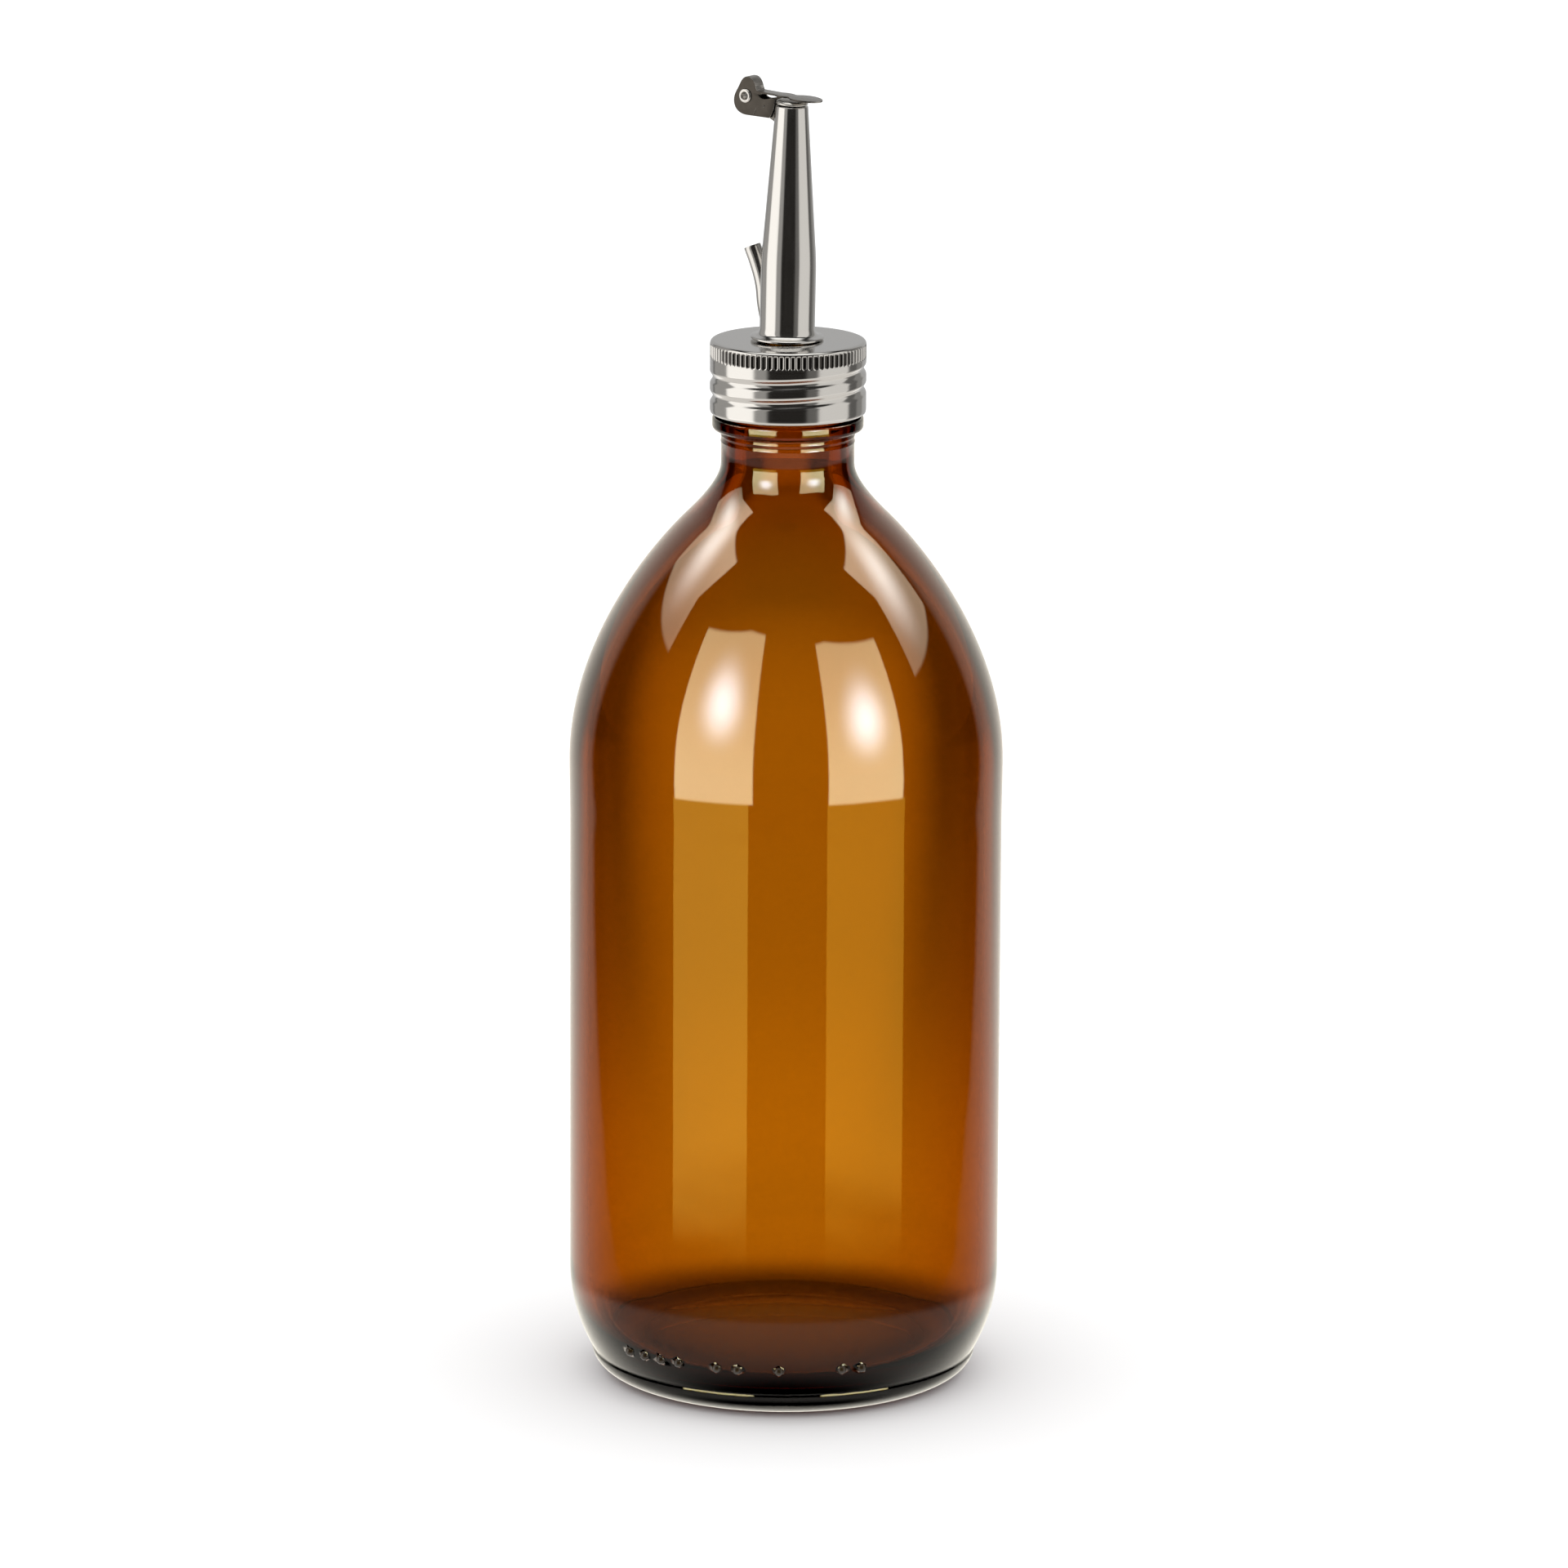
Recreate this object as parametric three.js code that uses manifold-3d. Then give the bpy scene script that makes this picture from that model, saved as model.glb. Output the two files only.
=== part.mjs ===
// Amber glass oil bottle with a screw cap, a pouring spout, a vent tube and a hinged flap.
// Millimetres, +Z up. The origin is at the bottom centre of the bottle, the spout pours
// towards +X and the flap's hinge axis runs along Y.
import * as THREE from 'three';
import Module from 'manifold-3d';
import { mergeVertices } from 'three/addons/utils/BufferGeometryUtils.js';

const wasm = await Module();
wasm.setup();

// Driving dimensions of the bottle
const BODY_R = 47.35;
const GLASS = 3.0;
const BEARING_R = 35.2;
const HEEL_TOP = 24;
const HEEL_R = 36;
const PANEL_TOP = 134;
const SHOULDER_R = 47.5;
const NECK_R = 14.55;
const NECK_FOOT = 194;
const BEAD_R = 16.5;
const BEAD_Z = 212.3;
const FINISH_R = 15;
const LIP_Z = 229.2;
const BORE_R = 11.3;

// Screw thread shared by the bottle's finish and the cap's rolled skirt
const PITCH = 4.15;
const THREAD_WIRE = 0.75;
const GROOVE_Z = 219.0;
const GROOVE_ANGLE = 155;
const GROOVE_TURNS = 1.8;
const THREAD_TURNS = 1.5;

// Cap, liner and lock ring
const CAP_R = 17;
const CAP_WALL = 0.6;
const CAP_BOTTOM = 216;
const CAP_TOP = 232;
const CAP_PLATE = 0.8;
const CAP_HOLE_R = 6.9;
const KNURL_COUNT = 84;
const KNURL_R = 0.45;
const KNURL_Z = 229.8;
const KNURL_LENGTH = 2.8;

// Spout and vent tube
const SPOUT_R = 6;
const SPOUT_WALL = 0.55;
const MOUTH_R = 3.5;
const MOUTH_Z = 283.4;
const SPOUT_LEAN = THREE.MathUtils.degToRad(1.1);
const LEAN_Z = 250;
const VENT_R = 1.875;
const VENT_BORE_R = 1.45;
const GAP = 0.3;

// Flap and hinge
const PIVOT_X = -10.55;
const PIVOT_Z = 284.6;
const SHEET = 0.4;
const CHEEK_Y = 1.55;
const CHEEK_ARC = 7.6;
const EAR_Y = 0.85;
const TONGUE_TILT = THREE.MathUtils.degToRad(3.1);
const RIVET_R = 1.1;
const RIVET_HOLE_R = 1.35;

const COLORS = {
  glass: 0x7a3f06,
  satin: 0xb4b0a8,
  polished: 0xc9c7c2,
  dark: 0x57514a,
  liner: 0xe8e6df
};

function steel(color, roughness) {
  return new THREE.MeshStandardMaterial({ color, roughness, metalness: 1 });
}

const glassLook = new THREE.MeshStandardMaterial({ color: COLORS.glass, roughness: 0.08, metalness: 0 });
const linerLook = new THREE.MeshStandardMaterial({ color: COLORS.liner, roughness: 0.6, metalness: 0 });

// Turns a closed geometry into a solid: shared vertices, no flat triangles, faces outward.
function solid(geometry) {
  const bare = geometry.clone();
  bare.deleteAttribute('normal');
  bare.deleteAttribute('uv');
  const merged = mergeVertices(bare, 1e-4);
  const position = merged.attributes.position;
  const index = merged.index.array;
  const corners = [];
  let volume = 0;
  const a = new THREE.Vector3();
  const b = new THREE.Vector3();
  const c = new THREE.Vector3();
  for (let i = 0; i < index.length; i += 3) {
    const [p, q, r] = [index[i], index[i + 1], index[i + 2]];
    if (p === q || q === r || r === p) continue;
    corners.push(p, q, r);
    a.fromBufferAttribute(position, p);
    b.fromBufferAttribute(position, q);
    c.fromBufferAttribute(position, r);
    volume += a.dot(b.cross(c));
  }
  if (volume < 0) corners.reverse();
  return new wasm.Manifold(new wasm.Mesh({
    numProp: 3,
    vertProperties: new Float32Array(position.array),
    triVerts: new Uint32Array(corners)
  }));
}

function piece(name, body, material) {
  const result = body.getMesh();
  const geometry = new THREE.BufferGeometry();
  geometry.setAttribute('position', new THREE.BufferAttribute(result.vertProperties, 3));
  geometry.setIndex(new THREE.BufferAttribute(result.triVerts, 1));
  geometry.computeVertexNormals();
  const mesh = new THREE.Mesh(geometry, material);
  mesh.name = name;
  return mesh;
}

// Solid of revolution about +Z from a profile in (radius, height).
function turned(profile, curveSteps, segments) {
  const points = profile.getPoints(curveSteps);
  return solid(new THREE.LatheGeometry(points, segments).rotateX(Math.PI / 2));
}

function ring(inner, outer, low, high, segments) {
  const profile = new THREE.Path();
  profile.moveTo(inner, low);
  profile.lineTo(outer, low);
  profile.lineTo(outer, high);
  profile.lineTo(inner, high);
  profile.lineTo(inner, low);
  return turned(profile, 1, segments);
}

// Round bar along a curve.
function bar(curve, radius, sides, steps) {
  const section = new THREE.Shape();
  section.absarc(0, 0, radius, 0, 2 * Math.PI, false);
  return solid(new THREE.ExtrudeGeometry(section, { extrudePath: curve, steps, curveSegments: sides }));
}

class Helix extends THREE.Curve {
  constructor(radius, startDegrees, startZ, turns) {
    super();
    Object.assign(this, { radius, startDegrees, startZ, turns });
  }

  getPoint(t, target = new THREE.Vector3()) {
    const angle = THREE.MathUtils.degToRad(this.startDegrees) + 2 * Math.PI * this.turns * t;
    const x = this.radius * Math.cos(angle);
    const y = this.radius * Math.sin(angle);
    return target.set(x, y, this.startZ + PITCH * this.turns * t);
  }
}

// Plate cut from a side view (X, Z), standing between two Y values.
function sidePlate(shape, lowY, highY) {
  const geometry = new THREE.ExtrudeGeometry(shape, { depth: highY - lowY, bevelEnabled: false, curveSegments: 10 });
  geometry.rotateX(Math.PI / 2).translate(0, highY, 0);
  return solid(geometry);
}

// Cylinder along Y between two Y values, centred on the pivot.
function crossPin(radius, lowY, highY, sides) {
  const geometry = new THREE.CylinderGeometry(radius, radius, highY - lowY, sides);
  return solid(geometry.translate(0, (lowY + highY) / 2, 0));
}

function makeBottle() {
  const outline = new THREE.Path();
  outline.moveTo(0, 3.6);
  outline.quadraticCurveTo(20, 3.4, 29.5, 1.4);
  outline.lineTo(32.3, 0);
  outline.lineTo(BEARING_R, 0);
  outline.quadraticCurveTo(41.9, 1.2, 42.5, 5.6);
  outline.lineTo(42.35, 5.9);
  outline.lineTo(42.8, 6.4);
  const heelStart = -Math.asin((HEEL_TOP - 6.5) / HEEL_R);
  outline.absarc(BODY_R - HEEL_R, HEEL_TOP, HEEL_R, heelStart, 0, false);
  outline.lineTo(BODY_R, PANEL_TOP);
  outline.lineTo(SHOULDER_R, PANEL_TOP + 1);
  outline.lineTo(SHOULDER_R, PANEL_TOP + 4);
  outline.bezierCurveTo(SHOULDER_R, 147.3, 44.9, 157.6, 39.6, 168.7);
  outline.bezierCurveTo(34.7, 178, 27.6, 188.1, 21.4, NECK_FOOT);
  outline.quadraticCurveTo(NECK_R, 200.9, NECK_R, 204.8);
  for (const rib of [209.6, 210.9]) {
    outline.lineTo(NECK_R, rib);
    outline.lineTo(NECK_R + 0.12, rib + 0.2);
    outline.lineTo(NECK_R, rib + 0.4);
  }
  outline.lineTo(NECK_R, BEAD_Z - 0.3);
  outline.lineTo(BEAD_R - 0.9, BEAD_Z);
  outline.lineTo(BEAD_R - 0.2, BEAD_Z + 0.4);
  outline.lineTo(BEAD_R, BEAD_Z + 1.1);
  outline.lineTo(BEAD_R, BEAD_Z + 2.3);
  outline.lineTo(BEAD_R - 0.7, BEAD_Z + 3);
  outline.lineTo(FINISH_R, BEAD_Z + 3);
  outline.lineTo(FINISH_R, LIP_Z - 0.7);
  outline.lineTo(FINISH_R - 0.7, LIP_Z);
  outline.lineTo(BORE_R + 0.7, LIP_Z);
  outline.lineTo(BORE_R, LIP_Z - 0.7);
  outline.lineTo(BORE_R, 204);
  outline.quadraticCurveTo(BORE_R, 199.5, 18.6, 192.6);
  outline.bezierCurveTo(29.6, 182, BODY_R - GLASS, 160, BODY_R - GLASS, 137);
  outline.lineTo(BODY_R - GLASS, 24);
  outline.quadraticCurveTo(BODY_R - GLASS, 8.2, 33, 7);
  outline.quadraticCurveTo(20, 8.4, 0, 8.6);
  let body = turned(outline, 3, 48);

  const threadStart = GROOVE_Z + PITCH / 2;
  const path = new Helix(FINISH_R + 0.25, GROOVE_ANGLE, threadStart, THREAD_TURNS);
  body = body.add(bar(path, THREAD_WIRE, 3, 36));

  // Mould code: raised dots around the heel on the side that faces front left
  const codePlaces = [0, 1, 2, 3, 5, 6, 8, 11, 12];
  for (const place of codePlaces) {
    const angle = THREE.MathUtils.degToRad(-102.8 + 5.83 * place);
    const dot = new THREE.SphereGeometry(1.05, 8, 5);
    dot.translate(45.1 * Math.cos(angle), 45.1 * Math.sin(angle), 12.1);
    body = body.add(solid(dot));
  }
  return piece('bottle', body, glassLook);
}

function makeCap() {
  const profile = new THREE.Path();
  profile.moveTo(CAP_R - CAP_WALL, CAP_BOTTOM);
  profile.lineTo(CAP_R - 0.15, CAP_BOTTOM);
  profile.quadraticCurveTo(CAP_R, CAP_BOTTOM + 0.2, CAP_R, CAP_BOTTOM + 0.6);
  profile.lineTo(CAP_R, CAP_TOP - 0.9);
  profile.quadraticCurveTo(CAP_R, CAP_TOP, CAP_R - 0.9, CAP_TOP);
  profile.lineTo(CAP_HOLE_R, CAP_TOP);
  profile.lineTo(CAP_HOLE_R, CAP_TOP - CAP_PLATE);
  profile.lineTo(CAP_R - CAP_WALL, CAP_TOP - CAP_PLATE);
  profile.lineTo(CAP_R - CAP_WALL, CAP_BOTTOM);
  let shell = turned(profile, 3, 72);

  const bead = new Helix(CAP_R - CAP_WALL, GROOVE_ANGLE, GROOVE_Z, GROOVE_TURNS);
  const groove = new Helix(CAP_R + 0.25, GROOVE_ANGLE, GROOVE_Z, GROOVE_TURNS);
  shell = shell.add(bar(bead, THREAD_WIRE, 3, 44));
  shell = shell.subtract(bar(groove, THREAD_WIRE, 3, 44));

  for (let i = 0; i < KNURL_COUNT; i += 1) {
    const slot = new THREE.CylinderGeometry(KNURL_R, KNURL_R, KNURL_LENGTH, 6);
    slot.rotateX(Math.PI / 2).translate(CAP_R + 0.12, 0, KNURL_Z);
    slot.rotateZ((2 * Math.PI * i) / KNURL_COUNT);
    shell = shell.subtract(solid(slot));
  }
  return piece('screw_cap', shell, steel(COLORS.satin, 0.35));
}

function makeLiner() {
  return piece('cap_liner', ring(9.6, 15.8, 229.5, 230.9, 36), linerLook);
}

function makeLockRing() {
  return piece('spout_lock_ring', ring(6.8, 9.2, 229.9, 230.9, 36), steel(COLORS.satin, 0.4));
}

function ventCurve() {
  return new THREE.CatmullRomCurve3([
    new THREE.Vector3(-3.2, 0, 212),
    new THREE.Vector3(-3.2, 0, 220),
    new THREE.Vector3(-3.2, 0, 227.5),
    new THREE.Vector3(-3.7, 0, 232),
    new THREE.Vector3(-4.9, 0, 235.6),
    new THREE.Vector3(-5.8, 0, 239),
    new THREE.Vector3(-6.5, 0, 243.5),
    new THREE.Vector3(-8, 0, 247.8),
    new THREE.Vector3(-9.7, 0, 251.4)
  ]);
}

// The spout and its vent tube lean together by about a degree towards the pouring side.
function leaning(mesh) {
  mesh.geometry.translate(0, 0, -LEAN_Z);
  mesh.position.z = LEAN_Z;
  mesh.rotation.y = SPOUT_LEAN;
  return mesh;
}

function makeSpout() {
  const foot = CAP_TOP + GAP;
  const bore = SPOUT_R - SPOUT_WALL;
  const profile = new THREE.Path();
  profile.moveTo(bore, CAP_TOP - 2);
  profile.lineTo(SPOUT_R, CAP_TOP - 2);
  profile.lineTo(SPOUT_R, foot);
  profile.lineTo(7.8, foot);
  profile.lineTo(8, foot + 0.3);
  profile.quadraticCurveTo(7.9, foot + 0.7, 7.2, foot + 0.7);
  profile.quadraticCurveTo(SPOUT_R, foot + 0.8, SPOUT_R, foot + 2.6);
  profile.lineTo(SPOUT_R, 246.5);
  profile.quadraticCurveTo(SPOUT_R, 249.5, 5.72, 253);
  profile.lineTo(MOUTH_R + 0.05, MOUTH_Z - 0.6);
  profile.quadraticCurveTo(MOUTH_R, MOUTH_Z, MOUTH_R - 0.3, MOUTH_Z);
  profile.lineTo(MOUTH_R - SPOUT_WALL, MOUTH_Z - 0.3);
  profile.lineTo(5.72 - SPOUT_WALL, 253);
  profile.quadraticCurveTo(bore, 249.5, bore, 246.5);
  profile.lineTo(bore, CAP_TOP - 2);
  const shell = turned(profile, 3, 36);
  const clearance = bar(ventCurve(), VENT_R + GAP, 6, 22);
  return leaning(piece('spout', shell.subtract(clearance), steel(COLORS.polished, 0.15)));
}

function makeVentTube() {
  const outer = bar(ventCurve(), VENT_R, 6, 22);
  const bore = bar(ventCurve(), VENT_BORE_R, 6, 22);
  const mouthEnd = new THREE.CatmullRomCurve3([
    new THREE.Vector3(-9.4, 0, 250.8),
    new THREE.Vector3(-10.2, 0, 252.5)
  ]);
  const innerEnd = new THREE.LineCurve3(new THREE.Vector3(-3.2, 0, 213), new THREE.Vector3(-3.2, 0, 211));
  let tube = outer.subtract(bore);
  for (const end of [mouthEnd, innerEnd]) tube = tube.subtract(bar(end, VENT_BORE_R, 6, 1));
  return leaning(piece('vent_tube', tube, steel(COLORS.polished, 0.25)));
}

function atPivot(mesh) {
  mesh.position.set(PIVOT_X, 0, PIVOT_Z);
  return mesh;
}

// Bracket on the back of the spout: a narrow web with two ears that carry the rivet.
function makeBracket() {
  const ear = new THREE.Shape();
  ear.moveTo(1.3, 1.4);
  ear.absarc(0, 0, 1.9, 0.82, 1.5 * Math.PI, false);
  ear.lineTo(3.4, -3);
  ear.lineTo(7.05, -5);
  ear.lineTo(7.3, -1.6);
  ear.lineTo(3.2, -0.6);
  ear.closePath();
  const web = new THREE.Shape();
  web.moveTo(6.6, -4.75);
  web.lineTo(7.05, -5);
  web.lineTo(7.3, -1.6);
  web.lineTo(6.6, -1.43);
  web.closePath();
  let body = sidePlate(web, -EAR_Y, EAR_Y);
  body = body.add(sidePlate(ear, -EAR_Y, -EAR_Y + SHEET)).add(sidePlate(ear, EAR_Y - SHEET, EAR_Y));
  body = body.subtract(crossPin(RIVET_HOLE_R, -2, 2, 20));
  return atPivot(piece('hinge_bracket', body, steel(COLORS.dark, 0.4)));
}

function makeRivet() {
  let body = crossPin(RIVET_R, -CHEEK_Y - 0.4, CHEEK_Y + 0.4, 20);
  for (const side of [-1, 1]) {
    const near = side * (CHEEK_Y + 0.12);
    const far = side * (CHEEK_Y + 0.45);
    body = body.add(crossPin(1.55, Math.min(near, far), Math.max(near, far), 20));
  }
  body = body.subtract(crossPin(0.85, -3, 3, 16));
  return atPivot(piece('hinge_rivet', body, steel(COLORS.polished, 0.25)));
}

// Lobe of the flap's cheek, from the foot of the lobe round its top to the lid.
function lobe(shape) {
  shape.moveTo(0.6, -4.2);
  shape.bezierCurveTo(-1.9, -4.2, -3.1, -2.9, -3.1, -1.2);
  shape.bezierCurveTo(-3.1, 0.2, -2.3, 1, -1.7, 2.2);
  shape.bezierCurveTo(-1.1, 3.4, -0.6, 4.2, 0.5, 4.2);
  shape.bezierCurveTo(1.8, 4.2, 2.3, 3.2, 2.6, 2.3);
  shape.bezierCurveTo(2.8, 1.6, 3, 1.3, 3.3, 0.6);
}

// The flap is one bent sheet: two cheeks, a strip over the lobes and the lid's tongue.
function makeFlap() {
  const cheek = new THREE.Shape();
  lobe(cheek);
  cheek.quadraticCurveTo(3.7, -0.3, 4.9, -0.3);
  cheek.quadraticCurveTo(6, -0.2, 6.5, 0.05);
  cheek.lineTo(Math.sqrt(CHEEK_ARC ** 2 - 0.05 ** 2), 0.05);
  cheek.absarc(0, 0, CHEEK_ARC, 0, -Math.asin(4.3 / CHEEK_ARC), true);
  cheek.closePath();

  const strip = new THREE.Shape();
  strip.moveTo(-0.2, 4.1);
  strip.bezierCurveTo(0, 4.2, 0.2, 4.2, 0.5, 4.2);
  strip.bezierCurveTo(1.8, 4.2, 2.3, 3.2, 2.6, 2.3);
  strip.bezierCurveTo(2.8, 1.5, 3.1, 0.95, 3.9, 0.9);
  strip.lineTo(3.9, 0.5);
  strip.bezierCurveTo(2.8, 0.55, 2.5, 1.2, 2.25, 2.1);
  strip.bezierCurveTo(2, 3, 1.6, 3.8, 0.5, 3.8);
  strip.bezierCurveTo(0.3, 3.8, 0.1, 3.8, -0.2, 3.7);
  strip.closePath();

  const tongue = new THREE.Shape();
  tongue.moveTo(-0.6, -CHEEK_Y);
  tongue.lineTo(4, -CHEEK_Y);
  tongue.bezierCurveTo(5.2, -2.3, 6.4, -2.3, 7.4, -1.7);
  tongue.bezierCurveTo(8.2, -1.3, 8.4, -3.2, 11, -3.2);
  tongue.bezierCurveTo(13.4, -3.2, 15.2, -1.5, 15.2, 0);
  tongue.bezierCurveTo(15.2, 1.5, 13.4, 3.2, 11, 3.2);
  tongue.bezierCurveTo(8.4, 3.2, 8.2, 1.3, 7.4, 1.7);
  tongue.bezierCurveTo(6.4, 2.3, 5.2, 2.3, 4, CHEEK_Y);
  tongue.lineTo(-0.6, CHEEK_Y);
  tongue.closePath();
  const lid = new THREE.ExtrudeGeometry(tongue, { depth: SHEET, bevelEnabled: false, curveSegments: 6 });
  lid.translate(0, 0, -SHEET / 2).rotateY(TONGUE_TILT).translate(3.6, 0, 0.7);

  let body = sidePlate(strip, -CHEEK_Y, CHEEK_Y).add(solid(lid));
  for (const [low, high] of [[-CHEEK_Y, -CHEEK_Y + SHEET], [CHEEK_Y - SHEET, CHEEK_Y]]) {
    body = body.add(sidePlate(cheek, low, high));
  }
  body = body.subtract(crossPin(RIVET_HOLE_R, -3, 3, 20));
  for (const side of [-1, 1]) {
    const dimple = new THREE.SphereGeometry(0.3, 8, 6);
    body = body.subtract(solid(dimple.translate(4.9, side * (CHEEK_Y + 0.12), -1.8)));
  }
  return atPivot(piece('flap', body, steel(COLORS.dark, 0.4)));
}

function makeSealDisc() {
  const profile = new THREE.Path();
  profile.moveTo(0, -1.15);
  profile.lineTo(3.4, -1.15);
  profile.lineTo(3.5, -0.95);
  profile.quadraticCurveTo(3.3, -0.35, 2.5, -0.35);
  profile.lineTo(0, -0.35);
  const disc = new THREE.LatheGeometry(profile.getPoints(4), 32).rotateX(Math.PI / 2);
  disc.translate(7.65, 0, 0).rotateY(TONGUE_TILT).translate(3.6, 0, 0.7);
  return atPivot(piece('flap_seal_disc', solid(disc), steel(COLORS.polished, 0.3)));
}

const group = new THREE.Group();
group.add(makeBottle(), makeCap(), makeLiner(), makeLockRing(), makeSpout(), makeVentTube());
group.add(makeBracket(), makeRivet(), makeFlap(), makeSealDisc());

export default group;
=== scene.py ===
# Amber glass oil bottle with a steel screw cap, a pouring spout, a vent tube and a hinged flap.
# Metres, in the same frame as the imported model: +Z up, the spout pours towards +X.
from math import asin, atan2, cos, degrees, hypot, pi, radians, sin, sqrt

import bpy
from mathutils import Matrix, Vector


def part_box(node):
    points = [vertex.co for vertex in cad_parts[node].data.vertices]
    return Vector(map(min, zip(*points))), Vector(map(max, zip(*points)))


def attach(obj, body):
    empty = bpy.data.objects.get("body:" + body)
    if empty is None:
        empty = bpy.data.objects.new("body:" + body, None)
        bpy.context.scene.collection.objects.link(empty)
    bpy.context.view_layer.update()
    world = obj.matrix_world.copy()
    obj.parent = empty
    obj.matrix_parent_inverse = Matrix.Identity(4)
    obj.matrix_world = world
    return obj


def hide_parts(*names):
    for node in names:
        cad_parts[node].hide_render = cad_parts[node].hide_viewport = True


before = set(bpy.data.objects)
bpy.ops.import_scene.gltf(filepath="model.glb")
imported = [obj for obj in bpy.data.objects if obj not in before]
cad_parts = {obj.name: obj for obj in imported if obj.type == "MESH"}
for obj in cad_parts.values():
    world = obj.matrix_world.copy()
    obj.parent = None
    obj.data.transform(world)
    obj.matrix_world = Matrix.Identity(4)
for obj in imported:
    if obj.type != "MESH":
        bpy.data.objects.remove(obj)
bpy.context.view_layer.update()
mm = 0.001


# ---- Camera: a long lens a little over two metres away, looking slightly down ----
# It stands 35 degrees round from the hinge's axis and aims a little below the middle of the whole.
view_yaw = radians(35)
view_pitch = radians(13.36)
view_roll = 0.005
view_distance = 2.158
camera_aside = 0.45
aim = Vector((0, 0, 0.1328))
to_camera = Vector((sin(view_yaw) * cos(view_pitch), -cos(view_yaw) * cos(view_pitch), sin(view_pitch)))
camera_right = Vector((cos(view_yaw), sin(view_yaw), 0))

bpy.ops.object.select_all(action="DESELECT")
bpy.ops.object.camera_add(location=aim + to_camera * view_distance - camera_right * camera_aside * mm)
camera = bpy.context.object
camera.name = "studio_camera"
camera.data.sensor_width = 36
camera.data.lens = 225.9
camera.data.clip_end = 50
turn = Matrix.Rotation(view_yaw, 3, "Z") @ Matrix.Rotation(pi / 2 - view_pitch, 3, "X")
camera.rotation_euler = (turn @ Matrix.Rotation(view_roll, 3, "Z")).to_euler()
bpy.context.scene.camera = camera


# ---- Table: a plain white top that runs out of sight ----
# Mirrors don't see it, because the room's light below stands for what they see instead.
bpy.ops.mesh.primitive_plane_add(size=12, location=(0, 0, -0.05 * mm))
table = bpy.context.object
table.name = "studio_table"
table.visible_glossy = False
table_paint = bpy.data.materials.new("studio_table_paint")
table_paint.use_nodes = True
paint = table_paint.node_tree.nodes["Principled BSDF"]
paint.inputs["Base Color"].default_value = (0.96, 0.96, 0.96, 1)
paint.inputs["Roughness"].default_value = 0.9
paint.inputs["Specular IOR Level"].default_value = 0.0
table.data.materials.append(table_paint)
nodes, links = table_paint.node_tree.nodes, table_paint.node_tree.links


def calc(operation, first, second=None, third=None, clamp=False):
    """One Math node of the material or light being made, fed with numbers or other nodes' results."""
    node = nodes.new("ShaderNodeMath")
    node.operation = operation
    node.use_clamp = clamp
    for socket, value in zip(node.inputs, (first, second, third)):
        if value is None:
            continue
        if isinstance(value, (int, float)):
            socket.default_value = value
        else:
            links.new(value, socket)
    return node.outputs[0]


def edge(value, start, stop):
    """Rises smoothly from 0 at start to 1 at stop, or falls if stop is below start."""
    node = nodes.new("ShaderNodeMapRange")
    node.interpolation_type = "SMOOTHSTEP"
    node.inputs["From Min"].default_value = min(start, stop)
    node.inputs["From Max"].default_value = max(start, stop)
    node.inputs["To Min"].default_value = 0 if start < stop else 1
    node.inputs["To Max"].default_value = 1 if start < stop else 0
    links.new(value, node.inputs["Value"])
    return node.outputs[0]


# Seen only through the glass, the table's colour carries painted shade: a painted shadow under the bottle,
# painted shade away to both sides behind it where black flags beside the back light would shade it, painted
# shade far behind it, and a painted pool of light around the bottle.
table_place = nodes.new("ShaderNodeTexCoord")
table_turned = nodes.new("ShaderNodeVectorRotate")
table_turned.rotation_type = "Z_AXIS"
table_turned.inputs["Angle"].default_value = -view_yaw
links.new(table_place.outputs["Object"], table_turned.inputs["Vector"])
table_split = nodes.new("ShaderNodeSeparateXYZ")
links.new(table_turned.outputs[0], table_split.inputs[0])
table_right, table_away, _ = table_split.outputs
aside = calc("MAXIMUM", calc("MULTIPLY", table_right, 1.2), calc("MULTIPLY", table_right, -1))
painted_shade_sector = calc("DEGREES", calc("ARCTAN2", aside, table_away))
painted_shade_depth = calc("MULTIPLY", calc("POWER", edge(table_away, 0.12, 0.75), 0.6), 0.82)
# Painted shade away to both sides behind the bottle, where black flags would shade the table.
painted_side_shade = calc("MULTIPLY", edge(painted_shade_sector, 5.5, 13), painted_shade_depth)
painted_side_shade = calc("MULTIPLY", painted_side_shade, edge(painted_shade_sector, 42, 30))
from_foot = calc("SQRT", calc("ADD", calc("MULTIPLY", table_right, table_right),
                              calc("MULTIPLY", table_away, table_away)))
# Painted shadow under the bottle's foot, and a painted pool of light around it.
painted_foot_shade_and_light = calc("MULTIPLY_ADD", edge(from_foot, 0.045, 0.085), 0.86, 0.14)
painted_foot_shade_and_light = calc("MULTIPLY", painted_foot_shade_and_light, calc("MULTIPLY_ADD", edge(from_foot, 0.4, 0.17), 0.34, 1))
# Painted shade on the far table.
painted_far_shade = calc("MULTIPLY_ADD", edge(table_away, 0.95, 0.62), 0.42, 0.58)
painted_tone_through_glass = calc("MULTIPLY", calc("MULTIPLY", calc("SUBTRACT", 1, painted_side_shade), painted_foot_shade_and_light), 0.81)
painted_tone_through_glass = calc("MULTIPLY", painted_tone_through_glass, painted_far_shade)
table_ray = nodes.new("ShaderNodeLightPath")
table_tone = nodes.new("ShaderNodeMix")
table_tone.data_type = "FLOAT"
table_tone.inputs["A"].default_value = 1.0
links.new(table_ray.outputs["Is Transmission Ray"], table_tone.inputs["Factor"])
links.new(painted_tone_through_glass, table_tone.inputs["B"])
white = calc("MULTIPLY", table_tone.outputs["Result"], 0.96)
links.new(white, paint.inputs["Base Color"])


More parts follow.
